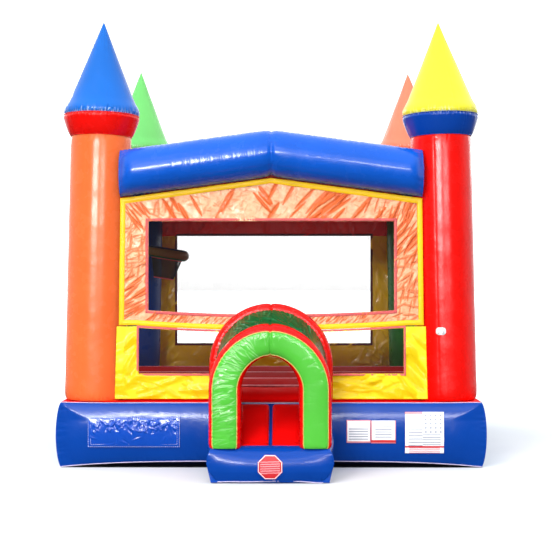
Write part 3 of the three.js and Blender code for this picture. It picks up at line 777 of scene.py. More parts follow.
def add_base_trim(label, quarters, seed):
    across = SEAM * np.linspace(-1, 1, 200)
    side_wall = quarters % 2 == 1
    along, out, height = base_skin(across, np.zeros_like(across), seed, side_wall)
    bottom = xyz(along, -out - 0.002, height)
    top_x, top_out, top_z = base_skin(across, np.ones_like(across), seed, side_wall)
    top = xyz(top_x, -top_out - 0.002, top_z + 0.002)
    trim = Soup()
    trim.tube(turned_quarter(bottom, quarters), PIPING, sides=6)
    trim.tube(turned_quarter(top, quarters), PIPING * 0.8, sides=6)
    trim.piece(f"base_{label}_piping", PALE_PIPING, "pale_piping")
    inward = np.linspace(0, 1, 7)[:, None]
    tuck_y = -SEAM + 0.16 * inward ** 0.8 + 0 * across
    tuck_z = height * (1 - inward) ** 1.4 + 0.0025 + 0 * across
    tuck = xyz(across + 0 * inward, tuck_y, tuck_z)
    trimmed = np.minimum(np.abs(tuck[..., 0]), -tuck[..., 1])
    tuck[..., 0] = np.sign(tuck[..., 0]) * trimmed
    add_grid(f"base_{label}_tuck", turned_quarter(tuck, quarters), DARK_TUCK)


def add_base():
    for quarters, label in enumerate(["front", "right", "rear", "left"]):
        seed = BASE_SEED + 10 * quarters
        add_base_wall(label, quarters, seed)
        add_base_trim(label, quarters, seed)


def lobe_height(y):
    away = np.abs(y)
    outer_seam = 1.5 * LOBE
    part = ((away + LOBE / 2) % LOBE) / LOBE
    inner = FLOOR_VALLEY + 4 * part * (1 - part) * (FLOOR_CREST - FLOOR_VALLEY)
    along = np.clip((away - outer_seam) / (FLOOR_HALF_Y - outer_seam), 0, 1)
    outer = BASE_TOP + (FLOOR_VALLEY - BASE_TOP) * np.sqrt(1 - along ** 3)
    return np.where(away > outer_seam, outer, inner)


def tower_distance(x, y):
    return np.hypot(np.abs(x) - TOWER_OFFSET, np.abs(y) - TOWER_OFFSET) - COLUMN_RADIUS


def add_floor_skin():
    x, y = np.meshgrid(SEAM * (2 * crowded(170, 0.25) - 1), np.linspace(-SEAM, SEAM, 300))
    height = lobe_height(y)
    side = 1 - eased(np.abs(x), FLOOR_HALF_X - 0.10, FLOOR_HALF_X)
    beside_tower = eased(tower_distance(x, y), 0.004, 0.10)
    height = BASE_TOP + (height - BASE_TOP) * side ** 0.5 * beside_tower
    for number in range(4):
        seam = (number - 1.5) * LOBE
        height -= puckers(x, np.abs(y - seam), 0.07, 0.10, 0.006, 70 + number) * side
    points = xyz(x, y, height - 0.001)
    points[..., 2] += noise(points, 0.25, 75) * 0.003 * side
    # Faces near the door get the brighter floor red: painted light.
    painted_lit_strip = (points[:-1, :-1, 1] < -1.5 * LOBE - 0.12).astype(int)
    add_grid("floor_skin", points, [FLOOR_RED, FLOOR_RED_PAINTED_LIGHT], ["bounce_floor"],
             indices=painted_lit_strip.reshape(-1))
    seams = Soup()
    for number in range(4):
        y_seam = (number - 1.5) * LOBE
        run = np.linspace(-FLOOR_HALF_X + 0.06, FLOOR_HALF_X - 0.06, 60)
        run = run[tower_distance(run, y_seam) > 0.05]
        path = xyz(run, y_seam, FLOOR_VALLEY + 0.006)
        seams.tube(path, 0.012, flat=0.6)
    seams.piece("floor_seams", PINK_SEAM, "pale_piping")


# ---------------------------------------------------------------- step, ramp and pads


def step_profile(corner, count=120):
    """Front, rounded edge, top and ramp of the step, as [y, z] from the lower front seam."""
    front = STEP_SEAM
    points = [(front + 0.012, 0.007), (front, 0.10), (front, STEP_TOP - corner)]
    for index in range(1, 13):
        turn = math.pi * (1 - index / 24)
        points.append((front + corner + corner * math.cos(turn), STEP_TOP - corner + corner * math.sin(turn)))
    points += [(RAMP_FOOT - 0.02, STEP_TOP), (RAMP_FOOT + 0.04, STEP_TOP + 0.04 * RAMP_RISE)]
    points += [(STEP_REAR, RAMP_TOP)]
    points = np.array(points)
    reach = run_along(points)
    wanted = np.linspace(0, 1, count) ** 1.35 * reach[-1]
    return np.interp(wanted, reach, points[:, 0]), np.interp(wanted, reach, points[:, 1]), wanted


def step_flat_half(height):
    return STEP_LOW_HALF + (STEP_HALF - STEP_LOW_HALF) * np.clip(height / STEP_TOP, 0, 1)


def step_bow(share, into):
    """How far the step's sides and its front corner seams bow out."""
    most = 0.062 + 0.004 * np.sin(np.pi / 2 * np.clip(into, 0, 1))
    return np.sin(np.pi * np.clip(share, 0, 1)) ** 0.85 * most


def add_step_front():
    sharp_y, sharp_z, run = step_profile(0.045)
    soft_y, soft_z, _ = step_profile(0.165)
    share, run_grid = np.meshgrid(2 * crowded(120, 0.5) - 1, run)
    crown = np.clip(1 - np.abs(share) ** 2.2, 0, 1)
    y = sharp_y[:, None] * (1 - crown) + soft_y[:, None] * crown
    z = sharp_z[:, None] * (1 - crown) + soft_z[:, None] * crown
    slope_y, slope_z = np.gradient(y, axis=0), np.gradient(z, axis=0)
    length = np.hypot(slope_y, slope_z)
    lift = 0.031 * np.sin(np.pi * np.clip(run_grid / 0.44, 0, 1)) ** 0.7 * (run_grid < 0.44)
    on_front = 1 - eased(run_grid, 0.28, 0.40)
    half = step_flat_half(z) + step_bow((z - 0.02) / 0.27, 0) * on_front
    across = share * half
    out = lift * crown ** 0.6
    edge = half - np.abs(across)
    out -= puckers(run_grid, edge, 0.040, 0.07, 0.006, 81)
    out -= puckers(across, run_grid, 0.05, 0.05, 0.005, 82)
    points = xyz(across, y - slope_z / length * out, z + slope_y / length * out)
    points[..., 1] += noise(points, 0.16, 83) * 0.0025 * crown
    on_ramp = (points[:-1, :-1, 1] > RAMP_FOOT - 0.03) & (np.abs(points[:-1, :-1, 0]) > 0.262)
    add_grid("step_gusset", points, [BASE_BLUE, RED], ["step_block"],
             indices=on_ramp.reshape(-1).astype(int))


def add_step_side(label, sign):
    top_y, top_z, _ = step_profile(0.045, 400)
    front = STEP_SEAM
    stations = front + (STEP_REAR - front) * crowded(110, 0.5) ** 1.1
    upper = np.interp(stations, np.maximum.accumulate(top_y), top_z)
    share, station = np.meshgrid(crowded(56, 0.6), stations, indexing="ij")
    height = 0.007 + (upper[None] - 0.007) * share
    bow = step_bow(share, (station - front) / 0.12) * (1 - 0.5 * eased(height, 0.30, 0.5))
    x = step_flat_half(height) + bow
    x -= puckers(station, (1 - share) * 0.3, 0.05, 0.05, 0.005, 84)
    x -= puckers(height, station - front, 0.035, 0.07, 0.006, 85)
    points = xyz(sign * x, station, height)
    if sign < 0:
        points = points[:, ::-1]
    add_grid(f"step_side_{label}", points, BASE_BLUE)


def add_step():
    add_step_front()
    add_step_side("left", -1)
    add_step_side("right", 1)
    trim = Soup()
    across = 0.444 * np.linspace(-1, 1, 60)
    wave = 0.004 * np.sin(across * 11) + 0.010 * np.clip(1 - (across / 0.4) ** 2, 0, 1)
    trim.tube(xyz(across, STEP_FRONT + 0.040, 0.0105 + wave), PIPING, sides=6)
    for sign in (-1, 1):
        run = np.linspace(STEP_FRONT + 0.04, STEP_REAR, 40)
        trim.tube(xyz(sign * 0.446, run, 0.007), PIPING, sides=6)
    trim.piece("step_piping", PALE_PIPING, "pale_piping")


PAD_SQUARE = 0.12


def soft_pad(half_width, length, thickness, count, seed):
    """A sewn pad in its own frame: open underneath, crowned, with a flatter sloping foot."""
    grid_t, grid_r = np.meshgrid(circle(count), np.linspace(0, 1, 30))
    x = half_width * signed_power(np.cos(grid_t), PAD_SQUARE) * grid_r
    y = length / 2 * signed_power(np.sin(grid_t), PAD_SQUARE) * grid_r
    height = thickness * np.clip(1 - grid_r ** 5, 0, 1) ** 0.5
    foot = eased(y, -length / 2, -length / 2 + 0.11)
    height *= 0.35 + 0.65 * foot
    reach = (half_width + length / 2) * 2 / np.pi
    edge = (1 - grid_r) * half_width
    height -= puckers(grid_t * reach, edge, 0.035, 0.03, 0.003, seed, 2 * np.pi * reach)
    return xyz(x, y, height)


def add_pads():
    tilt = math.atan(RAMP_RISE)
    for label, sign in SIDES:
        pad = soft_pad(0.1250, 0.820, 0.036, 96, 90 + sign)
        x = sign * 0.1425 + pad[..., 0]
        along = 0.280 + pad[..., 1]
        climb = np.clip(along, 0, None)
        y = RAMP_FOOT + climb * math.cos(tilt) + np.clip(along, None, 0) - pad[..., 2] * math.sin(tilt)
        z = STEP_TOP + 0.001 + climb * math.sin(tilt) + pad[..., 2] * math.cos(tilt)
        piece = add_grid(f"ramp_pad_{label}", xyz(x, y, z)[:, ::-1], PAD_RED,
                         [f"step_pad_{label}"], wrap_cols=True)
        edge = xyz(x, y, z)[-1]
        trim = Soup()
        trim.tube(edge[::2], 0.0030, sides=6, closed=True)
        trim.piece(f"ramp_pad_piping_{label}", RED_PIPING, "pale_piping")


# ---------------------------------------------------------------- entry tunnel


def arch_path(radius, spring, foot, count):
    """Centre line in [x, z], the direction away from the tunnel's middle, and the run along it."""
    leg = spring - foot
    bow = math.pi * radius
    run = np.linspace(0, 2 * leg + bow, count)
    angle = np.clip((run - leg) / radius, 0, math.pi)
    x = -radius * np.cos(angle)
    z = spring + radius * np.sin(angle)
    z = np.where(run < leg, foot + run, z)
    z = np.where(run > leg + bow, spring - (run - leg - bow), z)
    return x, z, -np.cos(angle), np.sin(angle), run


ARCH_SQUARE = 0.72


def arch_skin(radius, radial, deep, spring, foot, y, seams, seed, left_folds, rise):
    """An arch's points, with a squarish section, gathers along its seams and creases on its left, and how
    strongly painted glints lie along those creases.
    """
    x, z, away_x, away_z, run = arch_path(radius, spring, foot, 480)
    bell = np.where((run > spring - foot) & (run < run[-1] - spring + foot), away_z, 0) ** 2
    z = z + rise * bell
    turn = np.linspace(-np.pi, np.pi, 104, endpoint=False)
    turn_grid, run_grid = np.meshgrid(turn, run)
    total = run[-1]
    crown = run_grid - total / 2
    turned = turn_grid.copy()
    for seam in seams:
        turned -= 9.0 * rise * bell[:, None] * np.exp(-((turn_grid - math.radians(seam)) / 0.5) ** 2)
    offset = radial * signed_power(np.sin(turned), ARCH_SQUARE)
    depth = -deep * signed_power(np.cos(turned), ARCH_SQUARE)
    shrink = np.zeros_like(offset)
    left = 1 - eased(crown, -0.35, 0.15)
    for number, seam in enumerate(seams):
        away = np.abs(turn_grid - math.radians(seam)) * (radial + deep) / 2
        gathered = 0.25 + 0.30 * left_folds * left
        shrink += puckers(run_grid, away, 0.034, 0.075, 0.0060, seed + number) * gathered
        shrink += 0.003 * np.exp(-(away / 0.006) ** 2)
    shrink += 0.018 * np.exp(-np.abs(crown) / 0.008)
    shrink += puckers(turn_grid * 0.11, np.abs(crown), 0.03, 0.05, 0.004, seed + 8)
    ends = np.minimum(run_grid, total - run_grid)
    shrink += 0.012 * np.exp(-ends / 0.012)
    shrink += puckers(turn_grid * 0.11, ends, 0.03, 0.06, 0.005, seed + 9)
    length = np.hypot(offset, depth)
    keep = 1 - shrink / length
    reach = offset * keep
    points = xyz(x[:, None] + away_x[:, None] * reach, y + depth * keep, z[:, None] + away_z[:, None] * reach)
    arc = turn_grid * (radial + deep) / 2
    many, few, some = int(70 * left_folds), int(10 * left_folds), int(16 * left_folds)
    # A spec's eighth number is how strongly its creases are painted with glints (painted highlights).
    specs = [((0.25, total / 2 - 0.15, -0.05, 0.08), many, 112, 22, 0.10, 0.0065, 0.0046, 0.26),
             ((0.02, 0.30, -0.05, 0.08), few, 112, 26, 0.08, 0.0065, 0.0020, 0.1),
             ((total / 2 - 0.3, total - 0.6, 0.01, 0.08), some, 70, 24, 0.08, 0.0065, 0.0036, 0.2)]
    crumple, painted_light = folds_and_painted_light(run_grid, arc, specs, seed + 12)
    soft = noise(points, 0.09, seed + 10) * 0.0022 + noise(points, 0.035, seed + 11) * 0.0007 * (1 + 2 * left)
    soft += crumple
    points[..., 1] += soft
    return points, turn, run, painted_light


def add_arch(node, slot, face, rim, piping, seams, **shape):
    name = f"{node}_skin"
    points, turn, run, painted_light = arch_skin(seams=seams, **shape)
    sides = len(turn)
    centre = turn + np.pi / sides
    in_face = (centre > math.radians(min(seams))) & (centre < math.radians(max(seams)))
    indices = np.tile(np.where(in_face, 0, 1), len(run) - 1)
    indices = np.concatenate([indices, [1, 1]])
    piece = add_piece(name, points, tube_faces(len(run), sides), [face, rim], "root", [node], indices)
    # Painted glints along the creases on the arch's front face.
    set_painted_light(piece, painted_light * (np.abs(turn) < 0.9))
    trim = Soup()
    for seam in seams:
        column = int(round((math.radians(seam) + np.pi) / (2 * np.pi) * sides)) % sides
        line = points[:, column].copy()
        line[:, 1] -= 0.002
        trim.tube(line, 0.0048, up=(0, 1, 0), sides=6)
    trim.piece(f"{name}_piping", piping, "pale_piping")


CANOPY_FRONT = low("tunnel_canopy").y
CANOPY_REAR = high("tunnel_canopy").y
CANOPY_FRONT_Z = 0.800
CANOPY_REAR_Z = 0.943


def add_canopy():
    turn_grid, share_grid = np.meshgrid(np.linspace(0, np.pi, 260), np.linspace(0, 1, 90))
    y = CANOPY_FRONT + (CANOPY_REAR - CANOPY_FRONT) * share_grid
    spring = CANOPY_FRONT_Z + (CANOPY_REAR_Z - CANOPY_FRONT_Z) * share_grid
    along = turn_grid * STEP_HALF
    depth = CANOPY_REAR - CANOPY_FRONT
    dip = 0.030 * np.sin(np.pi * share_grid)
    dip += puckers(along, share_grid * depth, 0.040, 0.16, 0.010, 101)
    dip += puckers(along, (1 - share_grid) * depth, 0.040, 0.16, 0.010, 102)
    dip += 0.006 * np.exp(-np.abs(along - np.pi * STEP_HALF / 2) / 0.008)
    # The finer creases carry painted glints in the canopy's paler crease colour.
    spec = [((0.05, 1.55, 0, depth), 70, 75, 50, 0.34, 0.022, 0.013, 0.0),
            ((0.10, 1.50, 0, depth), 60, 75, 40, 0.20, 0.007, 0.004, 0.55)]
    crease, painted_light = folds_and_painted_light(along, share_grid * depth, spec, 103)
    dip += crease * np.sin(np.pi * share_grid) ** 0.5
    reach = STEP_HALF - dip
    points = xyz(reach * np.cos(turn_grid), y, spring + reach * np.sin(turn_grid))
    canopy = add_grid("canopy_sheet", points, DARK_GREEN, ["tunnel_canopy"], thick=0.002)
    set_painted_light(canopy, painted_light)

    seam = Soup()
    line = points[:, points.shape[1] // 2].copy()
    line[:, 2] += 0.003
    seam.tube(line, 0.004, up=(1, 0, 0), sides=6)
    seam.piece("canopy_seam", DARK_GREEN, "dark_green_vinyl")


def add_tunnel_sides():
    stations = np.linspace(CANOPY_FRONT, CANOPY_REAR, 60)
    for label, sign in SIDES:
        share, station = np.meshgrid(np.linspace(0, 1, 50), stations, indexing="ij")
        floor_z = STEP_TOP + np.clip(station - RAMP_FOOT, 0, None) * RAMP_RISE
        slope = (CANOPY_REAR_Z - CANOPY_FRONT_Z) / (CANOPY_REAR - CANOPY_FRONT)
        top = CANOPY_FRONT_Z + (station - CANOPY_FRONT) * slope
        height = floor_z + (top - floor_z) * share
        along = (station - CANOPY_FRONT) / (CANOPY_REAR - CANOPY_FRONT)
        out = 0.020 * np.sin(np.pi * along) * np.sin(np.pi * share)
        out -= puckers(height, (1 - along) * 0.6, 0.05, 0.10, 0.006, 110 + sign)
        out -= puckers(height, along * 0.6, 0.05, 0.10, 0.006, 112 + sign)
        x = sign * (STEP_HALF - 0.001 + out * (1 - share ** 8))
        sheet = add_grid(f"tunnel_wall_{label}", xyz(x, station, height), RED,
                         [f"tunnel_side_{label}"], thick=0.002)


def add_tunnel():
    add_arch("entry_arch", "green_vinyl", GREEN, RED, TAN_PIPING, (-40, 45), radius=0.386, radial=0.141,
             deep=0.105, spring=0.790, foot=STEP_TOP + 0.002, y=-2.755, seed=120, left_folds=1.6, rise=0.036)
    add_arch("porch_arch", "red_vinyl", RED, RED, RED_PIPING, (-35, 50), radius=0.501, radial=0.065,
             deep=0.089, spring=0.940, foot=BASE_TOP + 0.003, y=-1.951, seed=140, left_folds=0.3, rise=0.0)
    add_canopy()
    add_tunnel_sides()


# ---------------------------------------------------------------- towers

TOWERS = {
    "front_left": (-1, -1, ORANGE, RED, CONE_BLUE, 200),
    "front_right": (1, -1, RED, COLLAR_BLUE, YELLOW, 230),
    "rear_left": (-1, 1, REAR_BLUE_PAINTED_SHADE, YELLOW, PALE_GREEN, 260),
    "rear_right": (1, 1, REAR_GREEN_PAINTED_SHADE, RED, PALE_ORANGE, 290),
}
CONE_RISE = {"front_left": 0.018, "front_right": 0.013, "rear_left": 0.030, "rear_right": 0.012}
SEAM_DROP = {"front_left": 0.0, "front_right": 0.0, "rear_left": 0.026, "rear_right": 0.020}


def slot_of(material):
    return material.name.split("_")[0] + "_vinyl"


def tower_place(points, side_x, side_y):
    """From a tower's own upright frame to its leaning place."""
    lean = Matrix.Rotation(side_y * LEAN, 3, "X") @ Matrix.Rotation(-side_x * LEAN, 3, "Y")
    set_out = 0
    if side_x * side_y > 0:
        set_out = FRONT_LEFT_SET if side_x < 0 else REAR_RIGHT_SET
    foot = np.array([side_x * (TOWER_OFFSET + set_out), side_y * TOWER_OFFSET, BASE_TOP])
    return points @ np.array(lean).T + foot


def round_skin(heights, radii, cols, seed, foot_fold, top_fold, seam_turns):
    """A skin turned about its axis, gathered at both seams and along its upright seams."""
    reach = run_along(np.stack([heights, radii], axis=-1))
    turn_grid, reach_grid = np.meshgrid(circle(cols), reach)
    height_grid = heights[:, None] + 0 * turn_grid
    radius_grid = radii[:, None] + 0 * turn_grid
    widest = radii.max()
    around = turn_grid * widest
    girth = 2 * np.pi * widest
    fold = puckers(around, reach_grid, foot_fold[0], foot_fold[1], foot_fold[2], seed, girth)
    fold += puckers(around, reach[-1] - reach_grid, top_fold[0], top_fold[1], top_fold[2], seed + 1, girth)
    for number, seam in enumerate(seam_turns):
        away = np.abs(angle_from(turn_grid, seam)) * radius_grid
        fold += 0.0014 * np.exp(-(away / 0.005) ** 2)
        fold += puckers(height_grid, away, 0.045, 0.035, 0.0022, seed + 3 + number)
    points = xyz(radius_grid * np.cos(turn_grid), radius_grid * np.sin(turn_grid), height_grid)
    soft = noise(points, 0.30, seed + 8) * 0.0022 + noise(points, 0.09, seed + 9) * 0.0007
    shrunk = radius_grid - fold - np.abs(soft) * np.minimum(1, radius_grid / 0.1)
    points[..., 0] = shrunk * np.cos(turn_grid)
    points[..., 1] = shrunk * np.sin(turn_grid)
    return points


def painted_glints(away, cols, seed, reach):
    """How strongly a painted highlight lies along the gathered folds beside a round seam."""
    around = np.linspace(0, 2 * np.pi * COLLAR_RADIUS, cols, endpoint=False)
    around_grid, away_grid = np.meshgrid(around, np.clip(away, 0, None))
    painted_light = puckers(around_grid, away_grid, 0.022, reach, 1.0, seed, 2 * np.pi * COLLAR_RADIUS)
    return np.clip(painted_light, 0, 1) * np.clip(away_grid / 0.002, 0, 1)


def ring_path(radius, height, count=120):
    turn = circle(count)
    return xyz(radius * np.cos(turn), radius * np.sin(turn), height)


def add_tower(label):
    side_x, side_y, column, collar, cone, seed = TOWERS[label]
    share = crowded(120, 0.8)
    heights = share * COLUMN_HEIGHT
    tuck = 0.020 * np.exp(-heights / 0.022) + 0.004 * np.exp(-(COLUMN_HEIGHT - heights) / 0.02)
    front = -np.pi / 2 if side_y < 0 else np.pi / 2
    points = round_skin(heights, COLUMN_RADIUS - tuck, 240, seed, (0.05, 0.07, 0.006),
                        (0.045, 0.06, 0.0045), (front - 0.35, front + 1.9, front - 2.4))
    add_grid(f"{label}_column_skin", tower_place(points, side_x, side_y), column,
             [f"column_{label}"], wrap_cols=True)

    seam_height = COLLAR_HEIGHT - SEAM_DROP[label]
    share = crowded(40, 0.5)
    heights = COLUMN_HEIGHT + 0.001 + share * (seam_height - COLUMN_HEIGHT)
    flare = COLLAR_FOOT + (COLLAR_RADIUS - COLLAR_FOOT) * share ** 0.72 - 0.012 * eased(share, 0.85, 1.0)
    points = round_skin(heights, flare, 400, seed + 10, (0.045, 0.05, 0.004), (0.028, 0.050, 0.0075),
                        (front + 0.6,))
    piece = add_grid(f"{label}_collar_skin", tower_place(points, side_x, side_y), collar,
                     [f"collar_{label}"], wrap_cols=True)
    # Painted glints along the gathers beside the seams.
    set_painted_light(piece, painted_glints(seam_height - heights, 400, seed + 12, 0.014))

    share = crowded(90, 0.5) ** 1.15
    heights = seam_height + 0.001 + share * (CONE_HEIGHT + CONE_RISE[label] - seam_height - 0.001)
    from_foot = heights - seam_height
    straight = COLLAR_RADIUS * (1 - share)
    shoulder = 0.026 * np.exp(-from_foot / 0.020)
    fullness = 0.013 * np.exp(-((from_foot - 0.060) / 0.055) ** 2)
    radii = np.clip(straight - shoulder + fullness, 0.0005, None)
    points = round_skin(heights, radii, 400, seed + 20, (0.026, 0.075, 0.0100), (0.5, 0.01, 0.0),
                        (front + 0.30, front + 2.4, front - 1.8))
    piece = add_grid(f"{label}_cone_skin", tower_place(points, side_x, side_y), cone,
                     [f"cone_{label}"], wrap_cols=True)
    set_painted_light(piece, painted_glints(from_foot, 400, seed + 24, 0.034))

    trim = Soup()
    for radius, height in [(0.285, COLUMN_HEIGHT), (0.352, seam_height)]:
        trim.tube(tower_place(ring_path(radius, height), side_x, side_y), 0.004, sides=6, closed=True)
    trim.piece(f"{label}_tower_piping", collar, slot_of(collar))


# ---------------------------------------------------------------- beams and roof


def beam_skin(half, rise, seed):
    """Points of a beam along its own axis: [along, outwards, up], with a centre crease and pinched ends, and
    the share of painted glint on its tick folds.
    """
    along = half * (2 * crowded(300, 0.35) - 1)
    turn = circle(96)
    turn_grid, along_grid = np.meshgrid(turn, along)
    from_end = half - np.abs(along_grid)
    flatten = 1 - 0.42 * np.exp(-(from_end / 0.055) ** 1.5)
    fold = 0.016 * np.exp(-np.abs(along_grid) / 0.016) + 0.006 * np.exp(-np.abs(along_grid) / 0.05)
    arc = turn_grid * BEAM_RADIUS
    girth = 2 * np.pi * BEAM_RADIUS
    fold += puckers(arc, np.abs(along_grid), 0.05, 0.10, 0.006, seed, girth)
    fold += puckers(arc, from_end, 0.045, 0.10, 0.007, seed + 1, girth)
    for number, seam in enumerate((1.35, -1.45)):
        off = np.abs(angle_from(turn_grid, seam)) * BEAM_RADIUS
        fold += puckers(along_grid, off, 0.05, 0.06, 0.006, seed + 2 + number)
    # Short tick folds below the highlight line; they also carry painted glints.
    off = np.abs(angle_from(turn_grid, 0) - 0.02) * BEAM_RADIUS
    glint_ticks = puckers(along_grid, off, 0.021, 0.020, 1.0, seed + 6)
    glint_ticks *= eased(along_grid, -1.05, -0.8) * eased(-along_grid, 0.02, 0.1)
    fold += 0.0030 * glint_ticks
    points = xyz(along_grid, BEAM_FULL * np.cos(turn_grid), BEAM_FULL * np.sin(turn_grid))
    soft = noise(points, 0.24, seed + 4) * 0.003 + noise(points, 0.05, seed + 5) * 0.0007
    reach = BEAM_FULL - fold - np.abs(soft)
    up = reach * np.sin(turn_grid) - rise * np.abs(along_grid) / BEAM_HALF
    return along_grid, reach * np.cos(turn_grid) * flatten, up, np.clip(glint_ticks, 0, 1)


CAP_SHARES = (0.06, 0.30, 0.55, 0.76, 0.90, 0.965, 0.992)
CAP_BULGE = 0.020


def with_round_ends(points):
    """A tube's rings with both ends closed by rings that draw in to a slightly bulged middle."""
    share = np.array(CAP_SHARES)[:, None, None]
    caps = []
    for end, inner in ((points[0], points[8]), (points[-1], points[-9])):
        centre = end.mean(axis=0)
        outward = centre - inner.mean(axis=0)
        outward /= np.linalg.norm(outward)
        caps.append(centre + (end - centre) * share + outward * CAP_BULGE * (1 - share ** 2))
    return np.concatenate([caps[0], points, caps[1][::-1]])


BEAMS = {
    "front": (FRONT_BEAM_Y, BEAM_HALF, BEAM_RISE, 310),
    "rear": (FRONT_BEAM_Y, BEAM_HALF, BEAM_RISE, 320),
    "left": (SIDE_BEAM_X, BEAM_HALF + 0.02, 0, 330),
    "right": (SIDE_BEAM_X, BEAM_HALF + 0.02, 0, 340),
}


def add_beams():
    for label, (away, half, rise, seed) in BEAMS.items():
        _, tangent, outward = WALLS[label]
        along, out, up, glint_ticks = beam_skin(half, rise, seed)
        x = along * tangent[0] + (away + out) * outward[0]
        y = along * tangent[1] + (away + out) * outward[1]
        points = with_round_ends(xyz(x, y, BEAM_END_Z + 0.019 + rise + up))
        glint_ticks = np.pad(glint_ticks, ((len(CAP_SHARES), len(CAP_SHARES)), (0, 0)))
        if tangent[0] * outward[1] > tangent[1] * outward[0]:
            points, glint_ticks = points[::-1], glint_ticks[::-1]
        faces = tube_faces(*points.shape[:2])
        piece = add_piece(f"{label}_beam_skin", points, faces, BLUE, "root", [f"{label}_beam"])
        set_painted_light(piece, glint_ticks)


def add_roof():
    half_x = high("roof_cover").x
    half_y = high("roof_cover").y
    x, y = np.meshgrid(half_x * np.linspace(-1, 1, 130), half_y * np.linspace(-1, 1, 130))
    ridge = BEAM_END_Z + BEAM_RISE
    height = ridge - BEAM_RISE * np.abs(x) / BEAM_HALF
    inside = (1 - (x / half_x) ** 2) * (1 - (y / half_y) ** 2)
    points = xyz(x, y, height)
    sag = 0.035 * inside + noise(points, 0.5, 350) * 0.012 * np.sqrt(inside)
    spec = [((-1.3, 1.3, -1.4, 1.4), 90, 90, 90, 0.6, 0.04, 0.008)]
    sag += folds(x, y, spec, 351) * np.sqrt(inside)
    points[..., 2] -= sag
    beside = eased(tower_distance(x, y) + 0.02, 0, 0.10)
    points[..., 2] -= 0.02 * (1 - beside)
    roof = add_grid("roof_sheet", points, RED, ["roof_cover"], thick=0.002)


# ---------------------------------------------------------------- sewn sheets with windows


def add_stitches(name, loops, side_points, pitch, out, material):
    """Rows of short stitches along closed plan loops."""
    soup = Soup()
    for loop in loops:
        closed = np.concatenate([loop, loop[:1]])
        reach = run_along(closed)
        places = np.arange(pitch / 2, reach[-1], pitch)
        starts = np.stack([np.interp(places - 0.26 * pitch, reach, closed[:, i]) for i in (0, 1)], axis=-1)
        ends = np.stack([np.interp(places + 0.26 * pitch, reach, closed[:, i]) for i in (0, 1)], axis=-1)
        for start, end in zip(starts, ends):
            middle_point = (start + end) / 2
            line = np.array([start, middle_point, end])
            lift = np.array([out - 0.0008, out + 0.0006, out - 0.0008])
            direction = end - start
            across_wall = 0.0011 * np.array([-direction[1], direction[0]]) / max(np.hypot(*direction), 1e-6)
            left = side_points(line[:, 0] + across_wall[0], line[:, 1] + across_wall[1], lift)
            right = side_points(line[:, 0] - across_wall[0], line[:, 1] - across_wall[1], lift)
            top = side_points(line[:, 0], line[:, 1], lift + 0.0011)
            faces = [[0, 1, 7, 6], [1, 2, 8, 7], [6, 7, 4, 3], [7, 8, 5, 4], [0, 6, 3], [2, 5, 8],
                     [0, 3, 4, 1], [1, 4, 5, 2]]
            soup.add(np.concatenate([left, right, top]), faces)
    return soup.piece(name, material, "white_webbing")


def add_hem(name, box, side_points, width, material, counts, seed):
    """A folded tape sewn round a window, with a rounded edge and a slight waviness."""
    inner = side_loop(box_corners(box), counts)
    outer = side_loop(box_corners(grown(box, width)), counts)
    plan = between(inner, outer, 9)
    share = np.linspace(0, 1, 9)[:, None]
    crown = 0.0035 * np.sin(np.pi * share) ** 0.6
    run = np.arange(plan.shape[1]) * 0.0105
    wave = puckers(run[None] + 0 * share, share * width, 0.03, width, 0.0022, seed)
    rise = 0.004 + crown - wave * np.sin(np.pi * share) ** 0.5
    rise[0] = -0.004
    return add_grid(name, side_points(plan[..., 0], plan[..., 1], rise), material, wrap_cols=True)


NET_PITCH = 0.009
THREAD_RADIUS = 0.00021
THREAD_FLAT = 2.2
NET_BOW = 0.006


def add_net(name, box, side_points, node):
    """Knitted safety net: crossing threads, bowed a little outwards."""
    x0, x1, z0, z1 = box
    soup = Soup()

    def billow(across, height):
        share_x = np.clip((across - x0) / (x1 - x0), 0, 1)
        share_z = np.clip((height - z0) / (z1 - z0), 0, 1)
        return NET_BOW * np.sin(np.pi * share_x) * np.sin(np.pi * share_z)

    def add_thread(across, height, up):
        line = side_points(across, height, billow(across, height))
        soup.tube(line, THREAD_RADIUS, up=up, sides=4, flat=THREAD_FLAT)

    for across in np.arange(x0 + NET_PITCH / 2, x1, NET_PITCH):
        height = np.linspace(z0 - 0.004, z1 + 0.004, 7)
        add_thread(np.full_like(height, across), height, (0.577, 0.577, 0.1))
    for height in np.arange(z0 + NET_PITCH / 2, z1, NET_PITCH):
        across = np.linspace(x0 - 0.004, x1 + 0.004, 13)
        add_thread(across, np.full_like(across, height), (0, 0, 1))
    net = soup.piece(name, NET, "black_net", "root", [node])


GATHER = 0.0045


def ring_sheet(name, window, corners, side_points, specs, material, nodes, seed, counts, rows,
               apex=None):
    """A sheet with a window: folds and edge puckers over a grid from the window to the outer seam, and how
    strongly its folds carry the material's crease colour as painted light.
    """
    inner = side_loop(box_corners(window), counts)
    outer = side_loop(corners, counts, apex)
    plan = between(inner, outer, rows)
    across, height = plan[..., 0], plan[..., 1]
    share = np.linspace(0, 1, rows)[:, None] + 0 * across
    width = np.hypot(*(outer - inner).T)[None]
    run = np.cumsum(np.hypot(*np.diff(outer, axis=0, prepend=outer[:1]).T))[None] + 0 * share
    out, painted_light = folds_and_painted_light(across, height, specs, seed)
    near_edge = np.minimum(share, 1 - share) * width
    out *= 0.25 + 0.75 * eased(near_edge, 0, 0.03)
    out += puckers(run, (1 - share) * width, 0.026, 0.05, GATHER, seed + 1)
    out += puckers(run, share * width, 0.030, 0.05, GATHER, seed + 2)
    sample = xyz(across, height, 0)
    out += noise(sample, 0.22, seed + 3) * 0.006 + noise(sample, 0.07, seed + 4) * 0.0026
    points = side_points(across, height, out)
    sheet = add_grid(name, points, material, nodes, wrap_cols=True, thick=0.0012)
    set_painted_light(sheet, painted_light)
    return sheet, float(area_of(outer) - area_of(inner))


